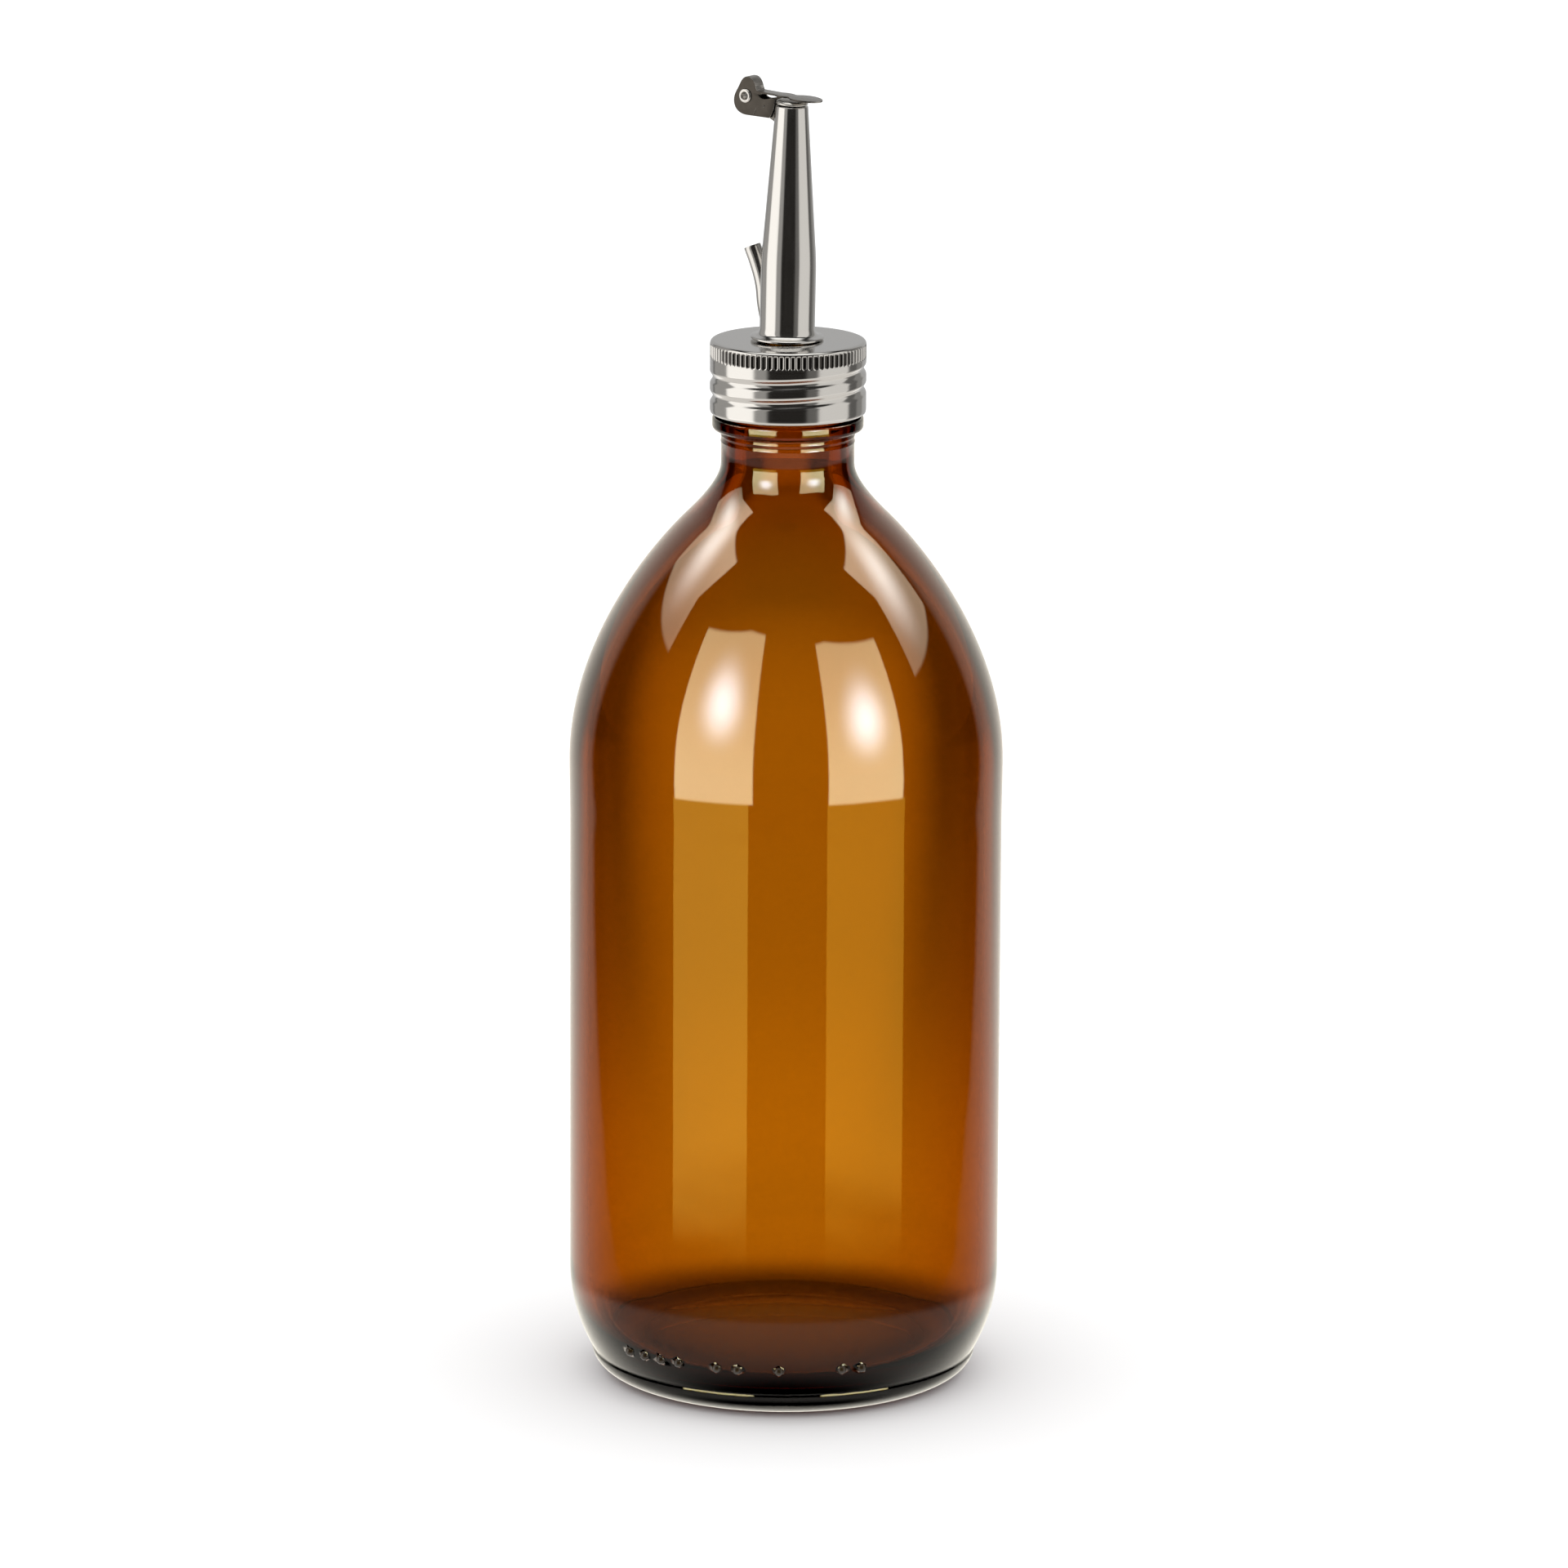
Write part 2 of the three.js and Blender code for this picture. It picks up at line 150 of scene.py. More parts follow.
# ---- Studio light: a white dome that lights everything, with cards that only mirrors see ----
# Directions are angles across from the camera, right positive, and angles up from the table.
# Clear glass and polished steel each mirror a set of cards of their own.
room = bpy.data.worlds.new("studio_room")
bpy.context.scene.world = room
room.use_nodes = True
nodes, links = room.node_tree.nodes, room.node_tree.links
nodes.clear()


def tinted(strength, color, under=None):
    """A light of one colour and a strength that varies, added to what is already there."""
    node = nodes.new("ShaderNodeVectorMath")
    node.operation = "MULTIPLY_ADD"
    for socket in node.inputs[:3]:
        socket.default_value = (0, 0, 0)
    links.new(strength, node.inputs[0])
    node.inputs[1].default_value = color
    if under is not None:
        links.new(under, node.inputs[2])
    return node.outputs[0]


room_way = nodes.new("ShaderNodeTexCoord").outputs["Generated"]
turned = nodes.new("ShaderNodeVectorRotate")
turned.rotation_type = "Z_AXIS"
turned.inputs["Angle"].default_value = -view_yaw
links.new(room_way, turned.inputs["Vector"])
split = nodes.new("ShaderNodeSeparateXYZ")
links.new(turned.outputs[0], split.inputs[0])
to_right, away, upward = split.outputs
across = calc("DEGREES", calc("ARCTAN2", to_right, calc("MULTIPLY", away, -1)))
above = calc("DEGREES", calc("ARCSINE", upward))
off_centre = calc("ABSOLUTE", across)


def card(left, right, low, high, soft=1.5, flare=0.0, droop=0.0, reach_in=0.0):
    """How much of a card is seen: 1 inside its angles across and up, 0 outside.

    A flare widens its outer edge towards the top, a droop lowers its top towards the outer edge, and
    reach_in brings a side card's inner edge forward near the top.
    """
    widened = calc("MULTIPLY", calc("MAXIMUM", above, 0), flare)
    from_left = calc("ADD", across, widened) if left < 0 else across
    from_right = across if left < 0 else calc("SUBTRACT", across, widened)
    inward = calc("MULTIPLY", calc("MAXIMUM", calc("SUBTRACT", above, 42), 0), reach_in)
    from_left = from_left if left < 0 else calc("ADD", from_left, inward)
    from_right = calc("SUBTRACT", from_right, inward) if left < 0 else from_right
    sides = calc("MULTIPLY", edge(from_left, left - soft / 2, left + soft / 2),
                 edge(from_right, right + soft / 2, right - soft / 2))
    drooped = calc("MULTIPLY_ADD", calc("MAXIMUM", calc("SUBTRACT", off_centre, 30), 0), droop, above)
    ends = calc("MULTIPLY", edge(above, low - soft / 2, low + soft / 2),
                edge(drooped, high + soft / 2, high - soft / 2))
    return calc("MULTIPLY", sides, ends)


def lamp_behind(left, up, reach):
    """The bright round patch that a card's lamp makes on it."""
    aside = calc("SUBTRACT", across, left)
    higher = calc("SUBTRACT", above, up)
    away_from = calc("SQRT", calc("ADD", calc("MULTIPLY", aside, aside), calc("MULTIPLY", higher, higher)))
    return calc("POWER", edge(away_from, reach, 0), 1.6)


# What clear glass mirrors: two tall softboxes in front and two small ones at the sides, their glow
# on the table below them, and a white back wall that dims towards the sides.
below_horizon = calc("MAXIMUM", calc("SUBTRACT", -13.7, above), 0)
wall_edge = calc("MULTIPLY_ADD", calc("MULTIPLY", below_horizon, below_horizon), 3.6, off_centre)
wall_level = calc("POWER", edge(off_centre, 60, 168), 2.4)
glass_sees = tinted(calc("MULTIPLY", wall_level, edge(wall_edge, 122, 128)), (1.05, 1.0, 0.88))
table_glow = calc("MULTIPLY", edge(above, -16, -20), edge(above, -72, -45))
glass_sees = tinted(table_glow, (0.44, 0.42, 0.38), glass_sees)
for left, right, low, high, lamp_across, lamp_up in ((-61, -17.5, -12.1, 48, -38.6, 25),
                                                     (22.5, 64.5, -12.1, 45, 46, 19)):
    box = card(left, right, low, high, flare=0.1, droop=0.19)
    fade = calc("MULTIPLY_ADD", edge(above, 48, -4), 0.35, 0.65)
    glass_sees = tinted(calc("MULTIPLY", box, fade), (11.0, 9.6, 5.2), glass_sees)
    lamp = lamp_behind(lamp_across, lamp_up, 21)
    glass_sees = tinted(calc("MULTIPLY", box, lamp), (14, 16, 19), glass_sees)
for left, right, low, high, lamp_across, lamp_up in ((-126, -86, 28, 58, -107, 47),
                                                     (86, 122, 22, 55, 103, 41)):
    box = card(left, right, low, high, reach_in=0.9)
    fade = calc("MULTIPLY_ADD", edge(above, low, high), 0.6, 0.4)
    glass_sees = tinted(calc("MULTIPLY", box, fade), (7.4, 6.2, 4.2), glass_sees)
    lamp = lamp_behind(lamp_across, lamp_up, 22)
    glass_sees = tinted(calc("MULTIPLY", box, lamp), (9, 9.5, 9.5), glass_sees)
for left, right, glow in ((-62, -20, (3.6, 2.5, 0.3)), (22, 66, (3.1, 1.9, 0.16))):
    glass_sees = tinted(card(left, right, -15.8, -11.9, soft=0.8), glow, glass_sees)

# What steel mirrors: a tall card on each side with a grey border, a dark gap at the camera, a white
# ceiling and a white table.
steel_sees = tinted(edge(above, -15, -32), (0.95, 0.92, 0.88))
steel_sees = tinted(edge(above, 52, 66), (1.5, 1.5, 1.48), steel_sees)
upright = card(-181, 181, -26, 42, 8)
for left, right, glow in ((-140, -103, 0.42), (-103, -52, 1.5), (-52, -31, 0.4),
                          (28, 46, 0.15), (46, 101, 0.9), (101, 122, 0.14), (122, 146, 0.3)):
    strip = calc("MULTIPLY", upright, card(left, right, -26, 42, 7))
    steel_sees = tinted(strip, (glow, 0.98 * glow, 0.95 * glow), steel_sees)
behind = calc("MULTIPLY", edge(off_centre, 138, 150), edge(above, 50, 36))
steel_sees = tinted(behind, (0.5, 0.5, 0.5), steel_sees)
steel_sees = tinted(edge(off_centre, 181, 0), (0.02, 0.018, 0.016), steel_sees)

ray = nodes.new("ShaderNodeLightPath")
mirror_sees = nodes.new("ShaderNodeMix")
mirror_sees.data_type = "VECTOR"
links.new(ray.outputs["Is Singular Ray"], mirror_sees.inputs["Factor"])
links.new(steel_sees, mirror_sees.inputs["A"])
links.new(glass_sees, mirror_sees.inputs["B"])
not_through = calc("SUBTRACT", 1, ray.outputs["Is Transmission Ray"])
mirrored = calc("MULTIPLY", ray.outputs["Is Glossy Ray"], not_through)
room_light = nodes.new("ShaderNodeMix")
room_light.data_type = "VECTOR"
links.new(mirrored, room_light.inputs["Factor"])
flag_aside = calc("MULTIPLY", edge(off_centre, 178, 166), edge(off_centre, 138, 150))
flag_seen = calc("MULTIPLY", flag_aside, ray.outputs["Is Transmission Ray"])
through = calc("SUBTRACT", 1, calc("MULTIPLY", flag_seen, 0.65))
plain = calc("MULTIPLY", through, calc("MULTIPLY_ADD", ray.outputs["Is Diffuse Ray"], 0.26, 1.06))
links.new(tinted(plain, (1, 1, 1)), room_light.inputs["A"])
links.new(mirror_sees.outputs["Result"], room_light.inputs["B"])
glow = nodes.new("ShaderNodeBackground")
glow.inputs["Strength"].default_value = 1.0
links.new(room_light.outputs["Result"], glow.inputs["Color"])
room_out = nodes.new("ShaderNodeOutputWorld")
links.new(glow.outputs[0], room_out.inputs["Surface"])
bpy.context.scene.view_settings.view_transform = "Standard"


# ---- Bottle: blown amber glass, one closed wall from the push-up in its base to its threaded mouth ----
# It stands on a flat ring, and carries a mould code of raised dots on its heel. Its wall is drawn
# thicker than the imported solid's, and its bore narrower, which deepens the colour of the glass.
bottle_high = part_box("bottle")[1]
lip_z = bottle_high[2] / mm
shoulder_r = bottle_high[0] / mm
body_r = shoulder_r - 0.15
wall = 3.8
heel_r = 36
heel_top = 24
step_low = 125
step_high = 139
neck_r = 14.55
rib_rise = 0.09
bore_r = 9.5
finish_r = 15.0
bead_r = 16.5
bead_z = 212.3
thread_pitch = 4.15
thread_start = radians(155)
thread_low = 219.0 + thread_pitch / 2


def arc(centre_r, centre_z, radius, start, end, count):
    """Points of a round stretch, in degrees from the horizontal."""
    sweep = [radians(start + (end - start) * i / count) for i in range(count + 1)]
    return [(centre_r + radius * cos(a), centre_z + radius * sin(a)) for a in sweep]


def curve(points, count):
    """Points of a Bezier curve through its first and last point, pulled by those between."""
    drawn = []
    for i in range(count + 1):
        t = i / count
        level = list(points)
        while len(level) > 1:
            level = [(a[0] + (b[0] - a[0]) * t, a[1] + (b[1] - a[1]) * t) for a, b in zip(level, level[1:])]
        drawn.append(level[0])
    return drawn


def straight(start, end, count):
    """Evenly spaced points of a straight stretch."""
    return curve([start, end], count)


def spun(name, outline, steps):
    """Draws an outline of (radius, height) in millimetres and spins it round the upright axis."""
    bpy.ops.object.select_all(action="DESELECT")
    bpy.ops.mesh.primitive_plane_add(size=mm, location=(outline[0][0] * mm, 0, outline[0][1] * mm))
    piece = bpy.context.object
    piece.name = name
    bpy.ops.object.mode_set(mode="EDIT")
    bpy.ops.mesh.merge(type="CENTER")
    for (r0, z0), (r1, z1) in zip(outline, outline[1:]):
        step = (round(r1 - r0, 6) * mm, 0, round(z1 - z0, 6) * mm)
        bpy.ops.mesh.extrude_region_move(TRANSFORM_OT_translate={"value": step})
    bpy.ops.mesh.select_all(action="SELECT")
    bpy.ops.mesh.spin(steps=steps, angle=2 * pi, center=(0, 0, 0), axis=(0, 0, 1))
    bpy.ops.mesh.select_all(action="SELECT")
    bpy.ops.mesh.remove_doubles(threshold=0.004 * mm)
    bpy.ops.mesh.normals_make_consistent(inside=False)
    bpy.ops.object.mode_set(mode="OBJECT")
    bpy.ops.object.transform_apply(location=True, rotation=True, scale=True)
    bpy.ops.object.shade_smooth_by_angle(angle=radians(32))
    return piece


def joined_outline(*stretches):
    """One outline from its stretches, with the points that two of them share kept once."""
    outline = []
    for stretch in stretches:
        for point in stretch:
            if not outline or hypot(point[0] - outline[-1][0], point[1] - outline[-1][1]) > 0.005:
                outline.append(point)
    return outline


foot = joined_outline(
    curve([(0, 3.6), (20, 3.4), (29.5, 1.4)], 12),
    curve([(29.5, 1.4), (31.4, 0.1), (32.3, 0)], 5),
    straight((32.3, 0), (35.2, 0), 2),
    curve([(35.2, 0), (41.9, 1.2), (42.5, 5.4)], 12),
    curve([(42.5, 5.4), (42.25, 5.85), (42.75, 6.4)], 4),
)
heel = arc(body_r - heel_r, heel_top, heel_r, -degrees(asin(17.5 / heel_r)), 0, 16)
panel = straight((body_r, heel_top), (body_r, step_low), 12)
step_up = curve([(body_r, step_low), (body_r, 130), (shoulder_r, 134), (shoulder_r, step_high)], 12)
shoulder = curve([(shoulder_r, step_high), (shoulder_r, 162.2), (32.2, 183.6), (21.4, 194)], 34)
neck = curve([(21.4, 194), (neck_r, 200.9), (neck_r, 204.8)], 14)
neck_ribs = []
for rib in (209.5, 210.9):
    neck_ribs += [(neck_r, rib), (neck_r + rib_rise, rib + 0.15)]
    neck_ribs += [(neck_r + rib_rise, rib + 0.25), (neck_r, rib + 0.4)]
bead = joined_outline(
    curve([(neck_r, bead_z - 0.4), (neck_r, bead_z), (bead_r - 0.9, bead_z)], 5),
    curve([(bead_r - 0.9, bead_z), (bead_r, bead_z + 0.1), (bead_r, bead_z + 1.1)], 7),
    straight((bead_r, bead_z + 1.1), (bead_r, bead_z + 2.2), 2),
    curve([(bead_r, bead_z + 2.2), (bead_r, bead_z + 3), (bead_r - 0.8, bead_z + 3)], 5),
    curve([(bead_r - 0.8, bead_z + 3), (finish_r, bead_z + 3), (finish_r, bead_z + 3.6)], 4),
)
finish = straight((finish_r, bead_z + 3.6), (finish_r, lip_z - 0.8), 44)
lip = joined_outline(
    curve([(finish_r, lip_z - 0.8), (finish_r, lip_z), (finish_r - 0.8, lip_z)], 5),
    curve([(bore_r + 0.9, lip_z), (bore_r, lip_z), (bore_r, lip_z - 0.9)], 5),
)
inside = joined_outline(
    straight((bore_r, lip_z - 0.9), (bore_r, 205), 6),
    curve([(bore_r, 205), (bore_r, 198.8), (17.2, 192.2)], 12),
    curve([(17.2, 192.2), (29.2, 181.9), (body_r - wall + 0.9, 160.8), (body_r - wall, 136)], 30),
    straight((body_r - wall, 136), (body_r - wall, 26), 10),
    curve([(body_r - wall, 26), (body_r - wall, 8.8), (33, 7.2)], 18),
    curve([(33, 7.2), (20, 8.2), (0, 8.6)], 10),
)
bottle_outline = joined_outline(
    foot, heel, panel, step_up, shoulder, neck, neck_ribs, bead, finish, lip, inside)
bottle = spun("bottle_glass", bottle_outline, 160)


def round_bump(offset, width):
    """Height, from 0 to 1, of a round ridge or groove at a distance from its middle."""
    return sqrt(max(0.0, 1 - (offset / width) ** 2))


thread_run_out = 0.06


def thread_offset(angle, height, start, low, pitch, turns):
    """How far a height is from the nearest turn of a thread, or None past its two ends."""
    wound = (angle - start) % (2 * pi) / (2 * pi)
    turn_number = round((height - low) / pitch - wound)
    along = wound + turn_number
    if along < 0 or along > turns:
        return None, 0.0
    fade_in = min(1.0, along / thread_run_out, (turns - along) / thread_run_out)
    return height - low - pitch * along, fade_in


thread_turns = 1.5
thread_half = 0.95
thread_rise = 0.95
for vertex in bottle.data.vertices:
    x, y, z = vertex.co / mm
    if abs(hypot(x, y) - finish_r) < 0.05 and bead_z + 3.2 < z < lip_z - 0.4:
        offset, strength = thread_offset(atan2(y, x), z, thread_start, thread_low, thread_pitch, thread_turns)
        if offset is not None and abs(offset) < thread_half:
            rise = 1 + thread_rise * strength * round_bump(offset, thread_half) / finish_r
            vertex.co.x *= rise
            vertex.co.y *= rise
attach(bottle, "bottle")
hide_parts("bottle")

# Amber glass: it takes nearly all the blue and most of the green out of the light along the way
# through it, and its mould leaves the surface very slightly wavy.
amber = bpy.data.materials.new("amber_bottle_glass")
amber.use_nodes = True
nodes, links = amber.node_tree.nodes, amber.node_tree.links
glass = nodes["Principled BSDF"]
glass.inputs["Base Color"].default_value = (1, 1, 1, 1)
glass.inputs["Roughness"].default_value = 0.0
glass.inputs["IOR"].default_value = 1.52
glass.inputs["Transmission Weight"].default_value = 1.0
absorb = nodes.new("ShaderNodeVolumeAbsorption")
absorb.inputs["Color"].default_value = (0.871, 0.70, 0.08, 1)
absorb.inputs["Density"].default_value = 1000
links.new(absorb.outputs[0], nodes["Material Output"].inputs["Volume"])
place = nodes.new("ShaderNodeTexCoord")
ripple = nodes.new("ShaderNodeTexNoise")
ripple.inputs["Scale"].default_value = 38
ripple.inputs["Detail"].default_value = 1.5
links.new(place.outputs["Object"], ripple.inputs["Vector"])
wave = nodes.new("ShaderNodeBump")
wave.inputs["Strength"].default_value = 0.06
wave.inputs["Distance"].default_value = 0.0006
links.new(ripple.outputs["Fac"], wave.inputs["Height"])
links.new(wave.outputs[0], glass.inputs["Normal"])
bottle.data.materials.append(amber)


# ---- Mould code: raised glass dots round the heel, part of the bottle ----
# They sit on a pitch of about six degrees, with gaps, on the side that faces the camera.
code_pitch = radians(5.83)
code_start = radians(-102.8)
code_places = (0, 1, 2, 3, 5, 6, 8, 11, 12)
code_r = 45.25
code_z = 12.1
dot_r = 1.05
dot_centres = []
for place_number in code_places:
    angle = code_start + code_pitch * place_number
    dot_centres.append(Vector((code_r * cos(angle), code_r * sin(angle), code_z)) * mm)
    bpy.ops.object.select_all(action="DESELECT")
    bpy.ops.mesh.primitive_uv_sphere_add(
        segments=16, ring_count=10, radius=dot_r * mm,
        location=(code_r * mm * cos(angle), code_r * mm * sin(angle), code_z * mm))
    dot = bpy.context.object
    dot.name = f"mould_dot_{place_number}"
    bpy.ops.object.transform_apply(location=True, rotation=True, scale=True)
    bpy.ops.object.shade_smooth()
    merge = bottle.modifiers.new("dot", "BOOLEAN")
    merge.operation = "UNION"
    merge.solver = "EXACT"
    merge.object = dot
    bpy.context.view_layer.objects.active = bottle
    bpy.ops.object.modifier_apply(modifier=merge.name)
    bpy.data.objects.remove(dot, do_unlink=True)

# The dots are thick beads that bend the light away, so they read black with a small bright glint; that black
# is painted shade, given as a near-black opaque colour, and the glint is their own reflection.
dot_painted_dark_glass = bpy.data.materials.new("mould_dot_painted_dark_glass")
dot_painted_dark_glass.use_nodes = True
nodes, links = dot_painted_dark_glass.node_tree.nodes, dot_painted_dark_glass.node_tree.links
beads = nodes["Principled BSDF"]
beads.inputs["Roughness"].default_value = 0.04
beads.inputs["IOR"].default_value = 1.52
dot_place = nodes.new("ShaderNodeTexCoord")
dot_cloud = nodes.new("ShaderNodeTexNoise")
dot_cloud.inputs["Scale"].default_value = 700
links.new(dot_place.outputs["Object"], dot_cloud.inputs["Vector"])
dot_painted_dark_tone = nodes.new("ShaderNodeMix")
dot_painted_dark_tone.data_type = "RGBA"
dot_painted_dark_tone.inputs["A"].default_value = (0.012, 0.008, 0.004, 1)
dot_painted_dark_tone.inputs["B"].default_value = (0.035, 0.02, 0.007, 1)
links.new(dot_cloud.outputs["Fac"], dot_painted_dark_tone.inputs["Factor"])
links.new(dot_painted_dark_tone.outputs["Result"], beads.inputs["Base Color"])
bottle.data.materials.append(dot_painted_dark_glass)
# Faces on the dots take the painted-shade dark glass.
for face in bottle.data.polygons:
    if face.center.z < 14 * mm and face.area < 0.3 * mm * mm:
        for centre in dot_centres:
            if abs((face.center - centre).length - 1.03 * mm) < 0.05 * mm:
                face.material_index = 1


# ---- Cap liner: a soft white plastic washer that seals the bottle's lip ----
# It is pressed into the top of the cap and does not turn on the glass.
liner_low, liner_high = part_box("cap_liner")
liner_z0, liner_z1 = liner_low[2] / mm, liner_high[2] / mm
liner_hole_r = 9.6
liner_r = 15.8
liner_outline = joined_outline(
    [(liner_hole_r, liner_z0 + 0.2)],
    curve([(liner_hole_r, liner_z1 - 0.2), (liner_hole_r, liner_z1), (9.8, liner_z1)], 3),
    curve([(15.6, liner_z1), (liner_r, liner_z1), (liner_r, liner_z1 - 0.2)], 3),
    curve([(liner_r, liner_z0 + 0.2), (liner_r, liner_z0), (15.6, liner_z0)], 3),
    curve([(14.6, liner_z0), (13.2, liner_z0 + 0.3), (11.6, liner_z0)], 6),
    curve([(9.8, liner_z0), (liner_hole_r, liner_z0), (liner_hole_r, liner_z0 + 0.2)], 3))
liner_outline.append(liner_outline[0])
liner = spun("cap_liner_washer", liner_outline, 96)
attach(liner, "liner")
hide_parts("cap_liner")


def new_finish(name, color, metallic, roughness):
    """A new material with its shader's plain values set, its shader, and its nodes and links."""
    material = bpy.data.materials.new(name)
    material.use_nodes = True
    tree = material.node_tree
    shader = tree.nodes["Principled BSDF"]
    shader.inputs["Base Color"].default_value = (*color, 1)
    shader.inputs["Metallic"].default_value = metallic
    shader.inputs["Roughness"].default_value = roughness
    return material, shader, tree.nodes, tree.links


def grain(nodes, links, stretch, scale, detail=2.0):
    """Noise on the piece's own coordinates, stretched along each axis. Returns its height."""
    where = nodes.new("ShaderNodeTexCoord")
    drawn = nodes.new("ShaderNodeMapping")
    drawn.inputs["Scale"].default_value = stretch
    links.new(where.outputs["Object"], drawn.inputs["Vector"])
    noise = nodes.new("ShaderNodeTexNoise")
    noise.inputs["Scale"].default_value = scale
    noise.inputs["Detail"].default_value = detail
    links.new(drawn.outputs["Vector"], noise.inputs["Vector"])
    return noise.outputs["Fac"]


def spread(nodes, links, value, low, high):
    """Takes a height between 0 and 1 to a range of its own."""
    ranged = nodes.new("ShaderNodeMapRange")
    ranged.inputs["From Min"].default_value = 0.25
    ranged.inputs["From Max"].default_value = 0.75
    ranged.inputs["To Min"].default_value = low
    ranged.inputs["To Max"].default_value = high
    links.new(value, ranged.inputs["Value"])
    return ranged.outputs["Result"]


def raise_by(nodes, links, shader, value, strength, distance):
    """Bumps a shader's surface by a height."""
    bump = nodes.new("ShaderNodeBump")
    bump.inputs["Strength"].default_value = strength
    bump.inputs["Distance"].default_value = distance
    links.new(value, bump.inputs["Height"])
    links.new(bump.outputs[0], shader.inputs["Normal"])


liner_plastic, shader, nodes, links = new_finish("liner_white_plastic", (0.80, 0.79, 0.75), 0.0, 0.55)
shader.inputs["Subsurface Weight"].default_value = 0.1
shader.inputs["Subsurface Scale"].default_value = 0.001
moulded = grain(nodes, links, (1, 1, 1), 900)
links.new(spread(nodes, links, moulded, 0.48, 0.62), shader.inputs["Roughness"])
raise_by(nodes, links, shader, moulded, 0.15, 0.00005)
liner.data.materials.append(liner_plastic)


# ---- Screw cap: pressed stainless steel, rolled round the bottle's thread ----
# Its top edge carries 84 pressed grip slots, and its skirt ends in a small curl.
cap_low, cap_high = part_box("screw_cap")
cap_base, cap_top = cap_low[2] / mm, cap_high[2] / mm
cap_r = 17.0
cap_wall = 0.6
cap_hole_r = 6.9
groove_low = 219.0
groove_turns = 1.8
groove_depth = 0.62
groove_half = 1.45
slot_count = 84
slot_half = 0.36
slot_depth = 0.36
slot_middle = 229.85
slot_reach = 1.45
slot_band_low = 228.0
slot_band_high = 231.4
cap_colour = (0.62, 0.605, 0.58)

cap_outline = joined_outline(
    straight((cap_hole_r, cap_top - 0.8), (cap_hole_r, cap_top - 0.08), 2),
    straight((cap_hole_r + 0.08, cap_top), (cap_r - 1.0, cap_top), 7),
    curve([(cap_r - 1.0, cap_top), (cap_r - 0.05, cap_top), (cap_r, cap_top - 0.9)], 8),
    straight((cap_r, cap_top - 0.9), (cap_r, 227.6), 20),
    straight((cap_r, 227.6), (cap_r, cap_base + 1.0), 56),
    curve([(cap_r, cap_base + 1.0), (cap_r, cap_base + 0.15), (cap_r - 0.3, cap_base + 0.03)], 5),
    curve([(cap_r - 0.3, cap_base + 0.03), (cap_r - 0.75, cap_base), (cap_r - 0.75, cap_base + 0.4)], 5),
    straight((cap_r - cap_wall, cap_base + 1.1), (cap_r - cap_wall, cap_top - 1.2), 24),
    curve([(cap_r - cap_wall, cap_top - 1.2), (cap_r - cap_wall, cap_top - 0.8),
           (cap_r - 1.1, cap_top - 0.8)], 3),
    [(cap_hole_r, cap_top - 0.8)])
cap = spun("cap_rolled_shell", cap_outline, slot_count * 8)
slot_pitch = 2 * pi / slot_count
for vertex in cap.data.vertices:
    x, y, z = vertex.co / mm
    radius = hypot(x, y)
    angle = atan2(y, x)
    outside = abs(radius - cap_r) < 0.02
    inner_wall = abs(radius - cap_r + cap_wall) < 0.02 and z < cap_top - 1.6
    move = 0.0
    if (outside or inner_wall) and z > cap_base + 0.9:
        offset, strength = thread_offset(angle, z, thread_start, groove_low, thread_pitch, groove_turns)
        if offset is not None and abs(offset) < groove_half:
            move = -groove_depth * strength * (0.5 + 0.5 * cos(pi * offset / groove_half))
            if inner_wall:
                move *= 0.7
    if outside and abs(z - slot_middle) < slot_reach + 0.3:
        across_slot = abs((angle + slot_pitch / 2) % slot_pitch - slot_pitch / 2) * cap_r
        past_end = max(0.0, abs(z - slot_middle) - (slot_reach - slot_half))
        from_middle = hypot(across_slot, past_end)
        if from_middle < slot_half * 1.05:
            move -= slot_depth
    vertex.co.x *= 1 + move / radius
    vertex.co.y *= 1 + move / radius
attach(cap, "cap")
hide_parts("screw_cap")

# The cap was turned against a polishing wheel, so fine rings run round it.
cap_steel, shader, nodes, links = new_finish("cap_turned_steel", cap_colour, 1.0, 0.13)
where = nodes.new("ShaderNodeTexCoord")
parts = nodes.new("ShaderNodeSeparateXYZ")
links.new(where.outputs["Object"], parts.inputs[0])
flat_way = nodes.new("ShaderNodeCombineXYZ")
links.new(parts.outputs["X"], flat_way.inputs["X"])
links.new(parts.outputs["Y"], flat_way.inputs["Y"])
from_axis = nodes.new("ShaderNodeVectorMath")
from_axis.operation = "LENGTH"
links.new(flat_way.outputs[0], from_axis.inputs[0])
rings_at = nodes.new("ShaderNodeCombineXYZ")
links.new(from_axis.outputs["Value"], rings_at.inputs["X"])
links.new(parts.outputs["Z"], rings_at.inputs["Y"])
rings = nodes.new("ShaderNodeTexNoise")
rings.inputs["Scale"].default_value = 5200
rings.inputs["Detail"].default_value = 3
links.new(rings_at.outputs[0], rings.inputs["Vector"])
links.new(spread(nodes, links, rings.outputs["Fac"], 0.09, 0.15), shader.inputs["Roughness"])
raise_by(nodes, links, shader, rings.outputs["Fac"], 0.05, 0.00001)
